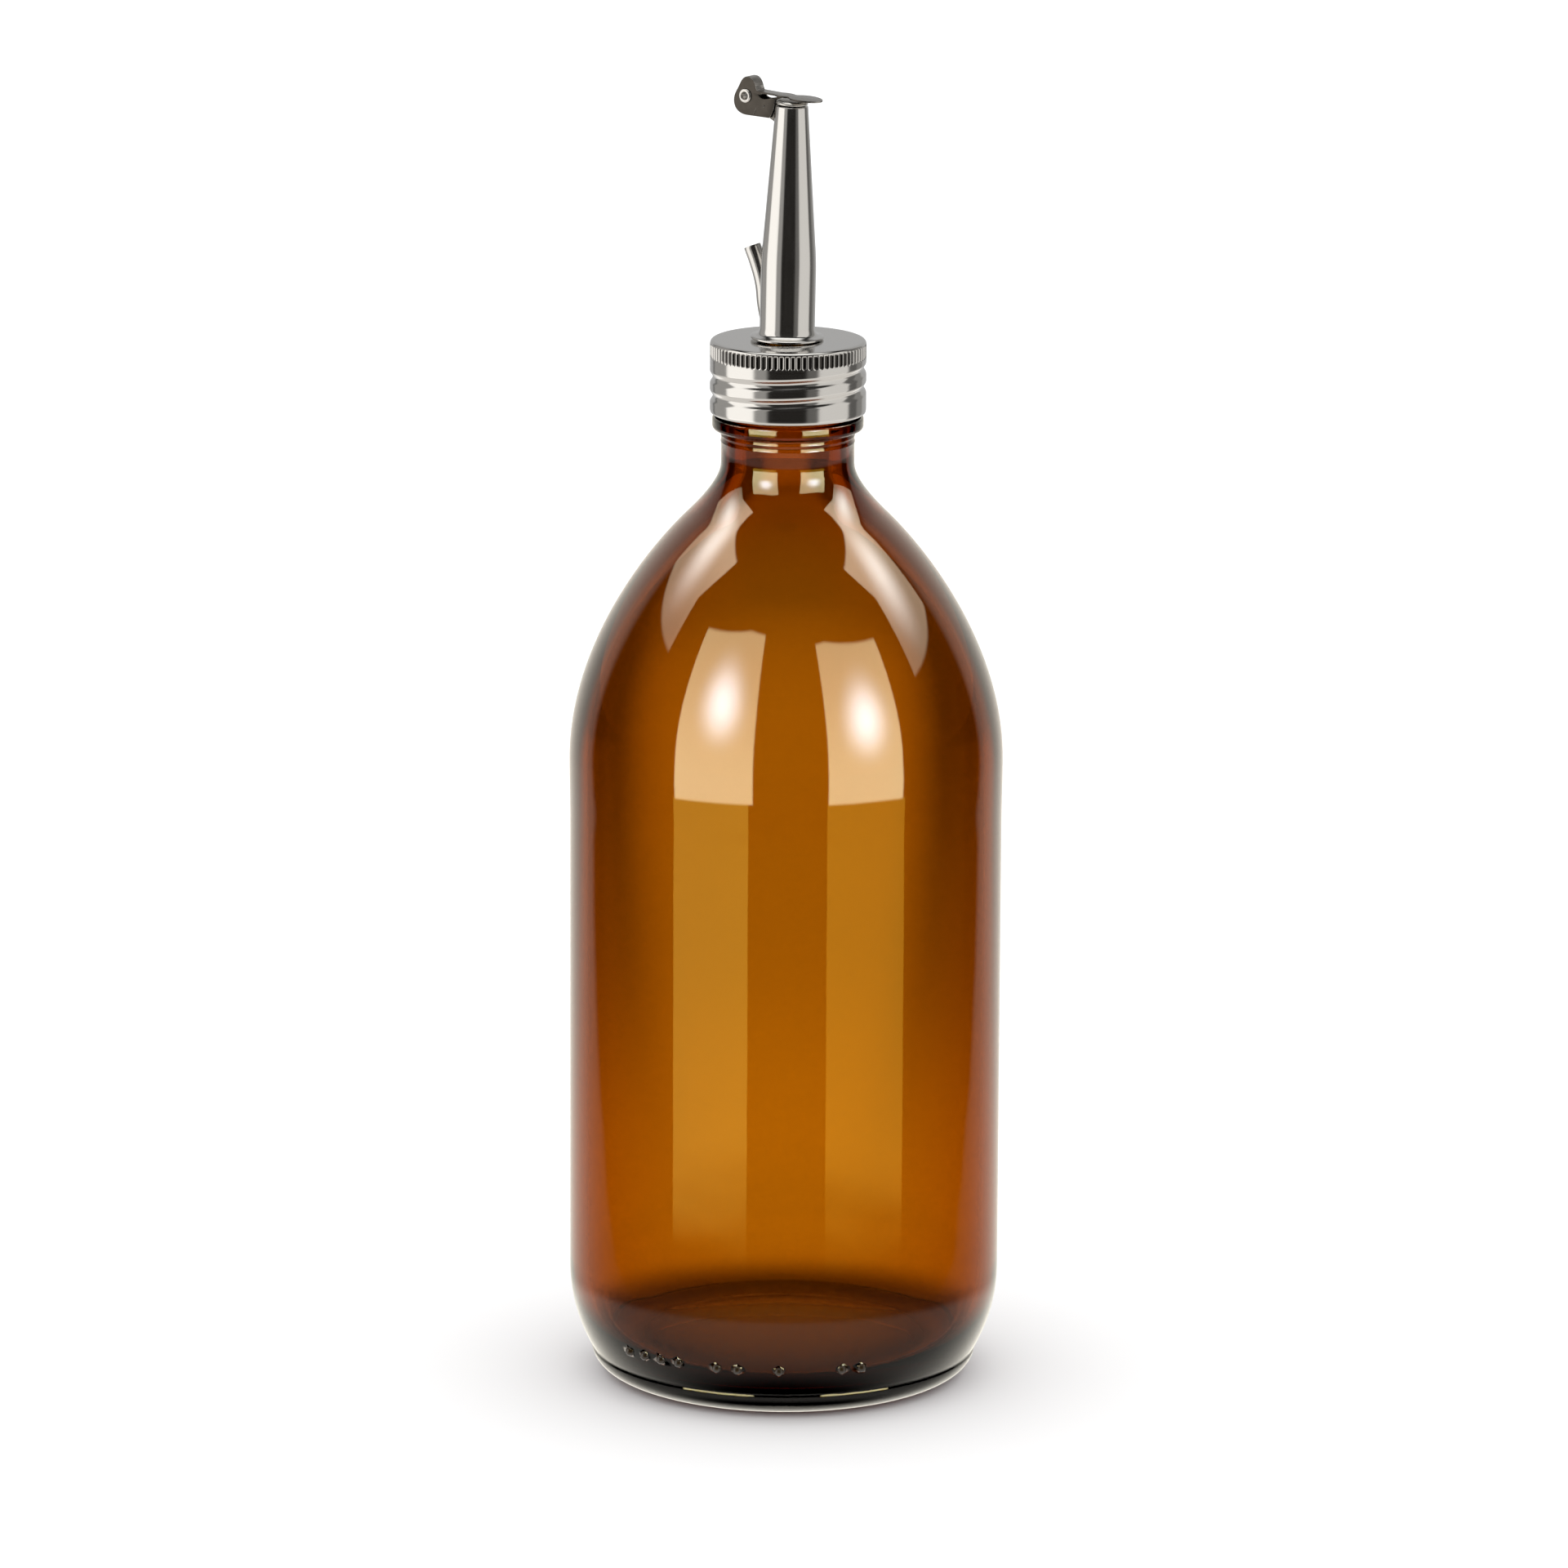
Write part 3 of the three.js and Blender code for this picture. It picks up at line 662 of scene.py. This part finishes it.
# Painted shade: the cap's colour darkens to near black on the floors of the grip slots, where shade falls in
# them.
slot_floor_ramp = nodes.new("ShaderNodeMapRange")
slot_floor_ramp.interpolation_type = "SMOOTHSTEP"
slot_floor_ramp.inputs["From Min"].default_value = (cap_r - slot_depth) * mm
slot_floor_ramp.inputs["From Max"].default_value = (cap_r - 0.02) * mm
links.new(from_axis.outputs["Value"], slot_floor_ramp.inputs["Value"])
in_slots = calc("MULTIPLY", edge(parts.outputs["Z"], slot_band_low * mm, (slot_band_low + 0.4) * mm),
                edge(parts.outputs["Z"], slot_band_high * mm, (slot_band_high - 0.3) * mm))
painted_slot_shade = calc("MULTIPLY", in_slots, calc("SUBTRACT", 1, slot_floor_ramp.outputs["Result"]))
slot_painted_shade_tone = nodes.new("ShaderNodeMix")
slot_painted_shade_tone.data_type = "RGBA"
slot_painted_shade_tone.inputs["A"].default_value = (*cap_colour, 1)
slot_painted_shade_tone.inputs["B"].default_value = (0.07, 0.065, 0.06, 1)
links.new(painted_slot_shade, slot_painted_shade_tone.inputs["Factor"])
links.new(slot_painted_shade_tone.outputs["Result"], shader.inputs["Base Color"])
cap.data.materials.append(cap_steel)


# ---- Spout lock ring: a spring-steel ring that holds the spout's foot under the cap's plate ----
# It is pressed over the tube from inside, with six small bites in its bore.
ring_low, ring_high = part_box("spout_lock_ring")
ring_z0, ring_z1 = ring_low[2] / mm, ring_high[2] / mm
ring_hole_r = 6.85
ring_r = 9.2
bite_depth = 0.3
bite_count = 6
lock_outline = joined_outline(
    [(ring_hole_r, ring_z0 + 0.15)],
    curve([(ring_hole_r, ring_z1 - 0.2), (ring_hole_r, ring_z1), (7.1, ring_z1)], 3),
    curve([(9.0, ring_z1), (ring_r, ring_z1), (ring_r, ring_z1 - 0.2)], 3),
    curve([(ring_r, ring_z0 + 0.2), (ring_r, ring_z0), (9.0, ring_z0)], 3),
    curve([(8.4, ring_z0), (7.9, ring_z0 + 0.35), (7.3, ring_z0)], 5))
lock_outline.append(lock_outline[0])
lock_ring = spun("spout_lock_washer", lock_outline, 96)
for vertex in lock_ring.data.vertices:
    x, y, z = vertex.co / mm
    if hypot(x, y) < 7.2:
        bite = bite_depth * max(0.0, cos(bite_count * atan2(y, x))) ** 4
        vertex.co.x *= 1 + bite / ring_hole_r
        vertex.co.y *= 1 + bite / ring_hole_r
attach(lock_ring, "cap")
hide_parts("spout_lock_ring")
lock_steel, shader, nodes, links = new_finish("lock_ring_spring_steel", (0.52, 0.50, 0.47), 1.0, 0.3)
tumbled = grain(nodes, links, (1, 1, 1), 1500, 4)
links.new(spread(nodes, links, tumbled, 0.22, 0.4), shader.inputs["Roughness"])
raise_by(nodes, links, shader, tumbled, 0.12, 0.00003)
lock_ring.data.materials.append(lock_steel)


# ---- Spout: a stainless tube drawn to a taper, flared at its foot where it meets the cap ----
# It leans about a degree towards its pouring side, and a hole in its back lets the vent tube out.
spout_r = 6.0
spout_wall = 0.55
mouth_r = 3.5
mouth_z = 283.4
spout_lean = radians(1.1)
lean_centre = (0, 0, 250 * mm)
spout_foot = cap_top + 0.3
bend_z = 246.5
taper_r = 5.72
taper_z = 253
bore = spout_r - spout_wall
spout_outline = joined_outline(
    straight((bore, cap_top - 2), (spout_r - 0.12, cap_top - 2), 2),
    curve([(spout_r - 0.12, cap_top - 2), (spout_r, cap_top - 2), (spout_r, cap_top - 1.8)], 2),
    curve([(spout_r, cap_top - 1.8), (spout_r, spout_foot), (6.4, spout_foot)], 4),
    curve([(7.7, spout_foot), (8, spout_foot), (8, spout_foot + 0.3)], 3),
    curve([(8, spout_foot + 0.3), (7.95, spout_foot + 0.68), (7.3, spout_foot + 0.7)], 5),
    curve([(7.3, spout_foot + 0.7), (spout_r, spout_foot + 0.75), (spout_r, spout_foot + 2.6)], 10),
    straight((spout_r, spout_foot + 2.6), (spout_r, bend_z), 4),
    curve([(spout_r, bend_z), (spout_r, 249.7), (taper_r, taper_z)], 10),
    straight((taper_r, taper_z), (mouth_r + 0.05, mouth_z - 0.35), 10),
    curve([(mouth_r + 0.05, mouth_z - 0.35), (mouth_r, mouth_z), (mouth_r - 0.25, mouth_z)], 5),
    curve([(mouth_r - 0.4, mouth_z), (mouth_r - 0.52, mouth_z), (mouth_r - 0.55, mouth_z - 0.25)], 4),
    straight((mouth_r - 0.5, mouth_z - 0.7), (taper_r - spout_wall, taper_z), 4),
    curve([(taper_r - spout_wall, taper_z), (bore, 249.7), (bore, bend_z)], 6),
    straight((bore, bend_z), (bore, cap_top - 2), 4))
spout = spun("spout_drawn_tube", spout_outline, 160)


def lean_over(piece):
    """Tips a piece about a degree towards the pouring side, as the spout is soldered."""
    bpy.ops.object.select_all(action="DESELECT")
    piece.select_set(True)
    bpy.context.view_layer.objects.active = piece
    tip = Matrix.Translation(lean_centre) @ Matrix.Rotation(spout_lean, 4, "Y")
    piece.matrix_world = tip @ Matrix.Translation((0, 0, -lean_centre[2])) @ piece.matrix_world
    bpy.ops.object.transform_apply(location=True, rotation=True, scale=True)


def tube_along(name, points, radius, sides=12):
    """A bare tube's skin along a smooth path through listed points."""
    bpy.ops.object.select_all(action="DESELECT")
    bpy.ops.curve.primitive_nurbs_path_add(location=(0, 0, 0))
    path = bpy.context.object
    path.name = name
    path.data.splines.clear()
    line = path.data.splines.new("BEZIER")
    line.bezier_points.add(len(points) - 1)
    for knot, point in zip(line.bezier_points, points):
        knot.co = Vector(point) * mm
        knot.handle_left_type = "AUTO"
        knot.handle_right_type = "AUTO"
    path.data.dimensions = "3D"
    path.data.resolution_u = 10
    path.data.bevel_depth = radius * mm
    path.data.bevel_resolution = sides
    path.data.use_fill_caps = False
    bpy.ops.object.convert(target="MESH")
    path = bpy.context.object
    path.data.materials.clear()
    return path


def close_ends(piece):
    """Fills a tube's open ends, so that it can cut."""
    bpy.context.view_layer.objects.active = piece
    bpy.ops.object.mode_set(mode="EDIT")
    bpy.ops.mesh.select_all(action="DESELECT")
    bpy.ops.mesh.select_non_manifold()
    bpy.ops.mesh.edge_face_add()
    bpy.ops.mesh.select_all(action="SELECT")
    bpy.ops.mesh.normals_make_consistent(inside=False)
    bpy.ops.object.mode_set(mode="OBJECT")


def cut_with(piece, tool, operation="DIFFERENCE"):
    """Joins or cuts one closed shape with another, and clears the tool away."""
    bpy.ops.object.select_all(action="DESELECT")
    piece.select_set(True)
    bpy.context.view_layer.objects.active = piece
    work = piece.modifiers.new("work", "BOOLEAN")
    work.operation = operation
    work.solver = "EXACT"
    work.object = tool
    bpy.ops.object.modifier_apply(modifier=work.name)
    bpy.data.objects.remove(tool, do_unlink=True)


vent_route = ((-3.2, 0, 212), (-3.2, 0, 220), (-3.2, 0, 227.5), (-3.7, 0, 232), (-4.9, 0, 235.6),
              (-5.8, 0, 239), (-6.5, 0, 243.5), (-8, 0, 247.8), (-9.7, 0, 251.4))
vent_r = 1.875
vent_wall = 0.42
vent_clearance = 0.06
vent_hole = tube_along("vent_hole", vent_route, vent_r + vent_clearance)
close_ends(vent_hole)
cut_with(spout, vent_hole)
bpy.ops.object.shade_smooth_by_angle(angle=radians(32))
lean_over(spout)
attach(spout, "cap")
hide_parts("spout")

# Polished along its length, so its streaks are long, faint and upright.
spout_steel, shader, nodes, links = new_finish("spout_polished_steel", (0.64, 0.625, 0.60), 1.0, 0.09)
streaks = grain(nodes, links, (1, 1, 0.012), 1400, 3)
links.new(spread(nodes, links, streaks, 0.10, 0.17), shader.inputs["Roughness"])
raise_by(nodes, links, shader, streaks, 0.03, 0.00001)
spout.data.materials.append(spout_steel)


# ---- Vent tube: a thin bent tube that lets air back into the bottle as the oil pours ----
# It climbs inside the spout's foot, comes out through its back wall and is soldered there.
vent = tube_along("vent_bent_tube", vent_route, vent_r, 18)
thick = vent.modifiers.new("wall", "SOLIDIFY")
thick.thickness = vent_wall * mm
thick.offset = -1
bpy.context.view_layer.objects.active = vent
bpy.ops.object.modifier_apply(modifier=thick.name)
bpy.ops.object.mode_set(mode="EDIT")
bpy.ops.mesh.select_all(action="SELECT")
bpy.ops.mesh.remove_doubles(threshold=0.002 * mm)
bpy.ops.mesh.select_all(action="DESELECT")
bpy.ops.object.mode_set(mode="OBJECT")
round_rim = vent.modifiers.new("rim", "BEVEL")
round_rim.width = 0.1 * mm
round_rim.segments = 2
round_rim.limit_method = "ANGLE"
round_rim.angle_limit = radians(60)
bpy.ops.object.modifier_apply(modifier=round_rim.name)
bpy.ops.object.shade_smooth_by_angle(angle=radians(40))
lean_over(vent)
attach(vent, "cap")
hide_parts("vent_tube")
vent_steel, shader, nodes, links = new_finish("vent_tube_steel", (0.60, 0.585, 0.56), 1.0, 0.16)
drawn_lines = grain(nodes, links, (1, 1, 0.03), 1800, 3)
links.new(spread(nodes, links, drawn_lines, 0.11, 0.22), shader.inputs["Roughness"])
raise_by(nodes, links, shader, drawn_lines, 0.04, 0.00001)
vent.data.materials.append(vent_steel)


# ---- Hinge bracket: a folded steel strap soldered to the back of the spout ----
# Two small ears stand off it and carry the hinge's rivet.
pivot = Vector((-10.55, 0, 284.6))
sheet = 0.4
cheek_y = 1.55
ear_y = 0.85
rivet_hole_r = 1.35


def plate(name, outline, low_y, high_y, corner):
    """A sheet standing on edge, drawn from the side round the hinge's axis, with its edges eased."""
    bpy.ops.object.select_all(action="DESELECT")
    first = outline[0]
    bpy.ops.mesh.primitive_plane_add(size=mm, location=(first[0] * mm, low_y * mm, first[1] * mm))
    piece = bpy.context.object
    piece.name = name
    bpy.ops.object.mode_set(mode="EDIT")
    bpy.ops.mesh.merge(type="CENTER")
    for (x0, z0), (x1, z1) in zip(outline, outline[1:]):
        step = ((x1 - x0) * mm, 0, (z1 - z0) * mm)
        bpy.ops.mesh.extrude_region_move(TRANSFORM_OT_translate={"value": step})
    bpy.ops.mesh.select_all(action="SELECT")
    bpy.ops.mesh.edge_face_add()
    bpy.ops.mesh.extrude_region_move(TRANSFORM_OT_translate={"value": (0, (high_y - low_y) * mm, 0)})
    bpy.ops.mesh.select_all(action="SELECT")
    bpy.ops.mesh.normals_make_consistent(inside=False)
    bpy.ops.object.mode_set(mode="OBJECT")
    bpy.ops.object.transform_apply(location=True, rotation=True, scale=True)
    ease = piece.modifiers.new("ease", "BEVEL")
    ease.width = corner * mm
    ease.segments = 2
    ease.limit_method = "ANGLE"
    ease.angle_limit = radians(50)
    bpy.ops.object.modifier_apply(modifier=ease.name)
    return piece


def cross_hole(piece, radius, x, y_low, y_high, z):
    """Bores a round hole through a sheet, along the hinge's axis."""
    bpy.ops.object.select_all(action="DESELECT")
    bpy.ops.mesh.primitive_cylinder_add(
        vertices=48, radius=radius * mm, depth=(y_high - y_low) * mm,
        location=(x * mm, (y_low + y_high) / 2 * mm, z * mm), rotation=(pi / 2, 0, 0))
    drill = bpy.context.object
    bpy.ops.object.transform_apply(location=True, rotation=True, scale=True)
    cut_with(piece, drill)


def to_pivot(piece):
    """Puts a piece drawn round the hinge's axis where the hinge is."""
    bpy.ops.object.select_all(action="DESELECT")
    piece.select_set(True)
    bpy.context.view_layer.objects.active = piece
    piece.location = pivot * mm
    bpy.ops.object.transform_apply(location=True, rotation=True, scale=True)
    bpy.ops.object.shade_smooth_by_angle(angle=radians(35))


ear = joined_outline(
    [(1.3, 1.4)], arc(0, 0, 1.9, 47, 270, 30), [(3.4, -3), (7.05, -5), (7.3, -1.6), (3.2, -0.6)])
web = [(6.6, -4.75), (7.05, -5), (7.3, -1.6), (6.6, -1.43)]
bracket = plate("bracket_folded_strap", web, -ear_y, ear_y, 0.06)
for low_y in (-ear_y, ear_y - sheet):
    cut_with(bracket, plate("bracket_ear", ear, low_y, low_y + sheet, 0.05), "UNION")
cross_hole(bracket, rivet_hole_r, 0, -2, 2, 0)
to_pivot(bracket)
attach(bracket, "cap")
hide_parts("hinge_bracket")
# The bracket's near-black colour is painted shade, for the shadow it sits in beside the spout.
bracket_painted_shade_steel, shader, nodes, links = new_finish("bracket_steel_painted_shade", (0.16, 0.15, 0.135), 1.0, 0.32)
pressed = grain(nodes, links, (1, 1, 1), 1100, 4)
links.new(spread(nodes, links, pressed, 0.26, 0.4), shader.inputs["Roughness"])
raise_by(nodes, links, shader, pressed, 0.1, 0.00002)
bracket.data.materials.append(bracket_painted_shade_steel)


# ---- Hinge rivet: a hollow steel rivet, rolled over at both ends against the flap's cheeks ----
# The flap turns on it, and its bore is open from side to side.
rivet_r = 1.1
head_r = 1.55
head_out = cheek_y + 0.45
head_in = cheek_y + 0.12
rivet_outline = joined_outline(
    straight((0.85, -head_out + 0.15), (0.85, head_out - 0.15), 3),
    curve([(0.85, head_out - 0.15), (0.88, head_out), (1.05, head_out)], 5),
    curve([(1.05, head_out), (head_r, head_out), (head_r, head_in)], 8),
    curve([(head_r - 0.04, head_in), (rivet_r + 0.05, head_in), (rivet_r, head_in - 0.05)], 3),
    straight((rivet_r, head_in - 0.05), (rivet_r, -head_in + 0.05), 3),
    curve([(rivet_r, -head_in + 0.05), (rivet_r + 0.05, -head_in), (head_r - 0.04, -head_in)], 3),
    curve([(head_r, -head_in), (head_r, -head_out), (1.05, -head_out)], 8),
    curve([(1.05, -head_out), (0.88, -head_out), (0.85, -head_out + 0.15)], 5))
rivet = spun("hinge_hollow_rivet", rivet_outline, 64)
rivet.rotation_euler = (pi / 2, 0, 0)
to_pivot(rivet)
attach(rivet, "cap")
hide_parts("hinge_rivet")
rivet_steel, shader, nodes, links = new_finish("rivet_bright_steel", (0.62, 0.60, 0.57), 1.0, 0.2)
rolled = grain(nodes, links, (1, 0.2, 1), 2200, 3)
links.new(spread(nodes, links, rolled, 0.15, 0.28), shader.inputs["Roughness"])
raise_by(nodes, links, shader, rolled, 0.05, 0.00001)
rivet.data.materials.append(rivet_steel)


# ---- Flap: one bent steel sheet, with two cheeks, a strip over their tops and the lid's tongue ----
# It turns on the rivet, and its own weight shuts it over the spout's mouth.
cheek_arc = 7.6
tongue_tilt = radians(3.1)
lid_origin = (3.6, 0, 0.7)
lobe = joined_outline(
    curve([(0.6, -4.2), (-1.9, -4.2), (-3.1, -2.9), (-3.1, -1.2)], 14),
    curve([(-3.1, -1.2), (-3.1, 0.2), (-2.3, 1), (-1.7, 2.2)], 10),
    curve([(-1.7, 2.2), (-1.1, 3.4), (-0.6, 4.2), (0.5, 4.2)], 10),
    curve([(0.5, 4.2), (1.8, 4.2), (2.3, 3.2), (2.6, 2.3)], 10),
    curve([(2.6, 2.3), (2.8, 1.6), (3, 1.3), (3.3, 0.6)], 6),
    curve([(3.3, 0.6), (3.7, -0.3), (4.9, -0.3)], 8),
    curve([(4.9, -0.3), (6, -0.2), (6.5, 0.05)], 5),
    arc(0, 0, cheek_arc, 0.4, -degrees(asin(4.3 / cheek_arc)), 10))
strip = joined_outline(
    curve([(-0.2, 4.1), (0, 4.2), (0.2, 4.2), (0.5, 4.2)], 4),
    curve([(0.5, 4.2), (1.8, 4.2), (2.3, 3.2), (2.6, 2.3)], 12),
    curve([(2.6, 2.3), (2.8, 1.5), (3.1, 0.95), (3.9, 0.9)], 10),
    curve([(3.9, 0.5), (2.8, 0.55), (2.5, 1.2), (2.25, 2.1)], 10),
    curve([(2.25, 2.1), (2, 3), (1.6, 3.8), (0.5, 3.8)], 12),
    curve([(0.5, 3.8), (0.3, 3.8), (0.1, 3.8), (-0.2, 3.7)], 3))
half_tongue = joined_outline(
    [(-0.6, -cheek_y), (4, -cheek_y)],
    curve([(4, -cheek_y), (5.2, -2.3), (6.4, -2.3), (7.4, -1.7)], 8),
    curve([(7.4, -1.7), (8.2, -1.3), (8.4, -3.2), (11, -3.2)], 12),
    curve([(11, -3.2), (13.4, -3.2), (15.2, -1.5), (15.2, 0)], 14))
tongue = half_tongue + [(x, -y) for x, y in reversed(half_tongue[:-1])]

flap = plate("flap_bent_sheet", strip, -cheek_y, cheek_y, 0.06)
for low_y in (-cheek_y, cheek_y - sheet):
    cut_with(flap, plate("flap_cheek", lobe, low_y, low_y + sheet, 0.09), "UNION")
lid = plate("flap_tongue", tongue, 0, sheet, 0.1)
lid.matrix_world = (Matrix.Translation(Vector(lid_origin) * mm) @ Matrix.Rotation(tongue_tilt, 4, "Y")
                    @ Matrix.Translation((0, 0, sheet / 2 * mm)) @ Matrix.Rotation(pi / 2, 4, "X"))
bpy.ops.object.transform_apply(location=True, rotation=True, scale=True)
cut_with(flap, lid, "UNION")
cross_hole(flap, rivet_hole_r, 0, -3, 3, 0)
dimple_r = 0.3
scratch_r = 0.13
for side in (-1, 1):
    bpy.ops.object.select_all(action="DESELECT")
    bpy.ops.mesh.primitive_uv_sphere_add(
        segments=24, ring_count=12, radius=dimple_r * mm,
        location=(4.9 * mm, side * (cheek_y + 0.12) * mm, -1.8 * mm))
    dimple = bpy.context.object
    bpy.ops.object.transform_apply(location=True, rotation=True, scale=True)
    cut_with(flap, dimple)
scratch_top = Vector((3.0, -cheek_y - 0.05, -2.4))
scratch_foot = Vector((2.15, -cheek_y - 0.05, -3.9))
bpy.ops.object.select_all(action="DESELECT")
bpy.ops.mesh.primitive_cylinder_add(
    vertices=16, radius=scratch_r * mm, depth=(scratch_top - scratch_foot).length * mm,
    location=(scratch_top + scratch_foot) / 2 * mm,
    rotation=(0, atan2(scratch_top.x - scratch_foot.x, scratch_top.z - scratch_foot.z), 0))
scratch = bpy.context.object
bpy.ops.object.transform_apply(location=True, rotation=True, scale=True)
cut_with(flap, scratch)
to_pivot(flap)
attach(flap, "flap")
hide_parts("flap")

# The cheeks' flat faces are painted near-black as painted shade, over a satin finish from the press, and the
# strip and tongue were brushed along their length.
cheek_painted_shade_steel, shader, nodes, links = new_finish("flap_cheek_painted_shade_steel", (0.075, 0.066, 0.056), 1.0, 0.36)
pressed = grain(nodes, links, (1, 1, 1), 900, 5)
links.new(spread(nodes, links, pressed, 0.3, 0.45), shader.inputs["Roughness"])
raise_by(nodes, links, shader, pressed, 0.12, 0.00002)
flap.data.materials.append(cheek_painted_shade_steel)
brushed_steel, shader, nodes, links = new_finish("flap_brushed_steel", (0.36, 0.345, 0.32), 1.0, 0.3)
brushed = grain(nodes, links, (0.05, 1, 0.3), 2400, 4)
links.new(spread(nodes, links, brushed, 0.22, 0.4), shader.inputs["Roughness"])
raise_by(nodes, links, shader, brushed, 0.12, 0.00002)
flap.data.materials.append(brushed_steel)
# Faces that look along the hinge's axis take the painted-shade cheek steel, all others the brushed steel.
for face in flap.data.polygons:
    face.material_index = 0 if abs(face.normal.y) > 0.8 else 1


# ---- Flap seal disc: a shallow steel dome under the tongue that covers the spout's mouth ----
# It is spot-welded to the lid and moves with it.
disc_outline = joined_outline(
    curve([(0, -1.15), (2.2, -1.15), (3.3, -1.15)], 5),
    curve([(3.3, -1.15), (3.5, -1.12), (3.5, -0.95)], 4),
    curve([(3.5, -0.95), (3.3, -0.35), (2.5, -0.35)], 7),
    straight((2.5, -0.35), (0, -0.35), 3))
disc = spun("flap_seal_dome", disc_outline, 72)
disc.matrix_world = (Matrix.Translation(Vector(lid_origin) * mm) @ Matrix.Rotation(tongue_tilt, 4, "Y")
                     @ Matrix.Translation((7.65 * mm, 0, 0)))
bpy.ops.object.transform_apply(location=True, rotation=True, scale=True)
to_pivot(disc)
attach(disc, "flap")
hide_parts("flap_seal_disc")
disc_steel, shader, nodes, links = new_finish("seal_disc_steel", (0.62, 0.60, 0.56), 1.0, 0.25)
spun_marks = grain(nodes, links, (1, 1, 1), 1600, 3)
links.new(spread(nodes, links, spun_marks, 0.2, 0.32), shader.inputs["Roughness"])
raise_by(nodes, links, shader, spun_marks, 0.06, 0.00001)
disc.data.materials.append(disc_steel)
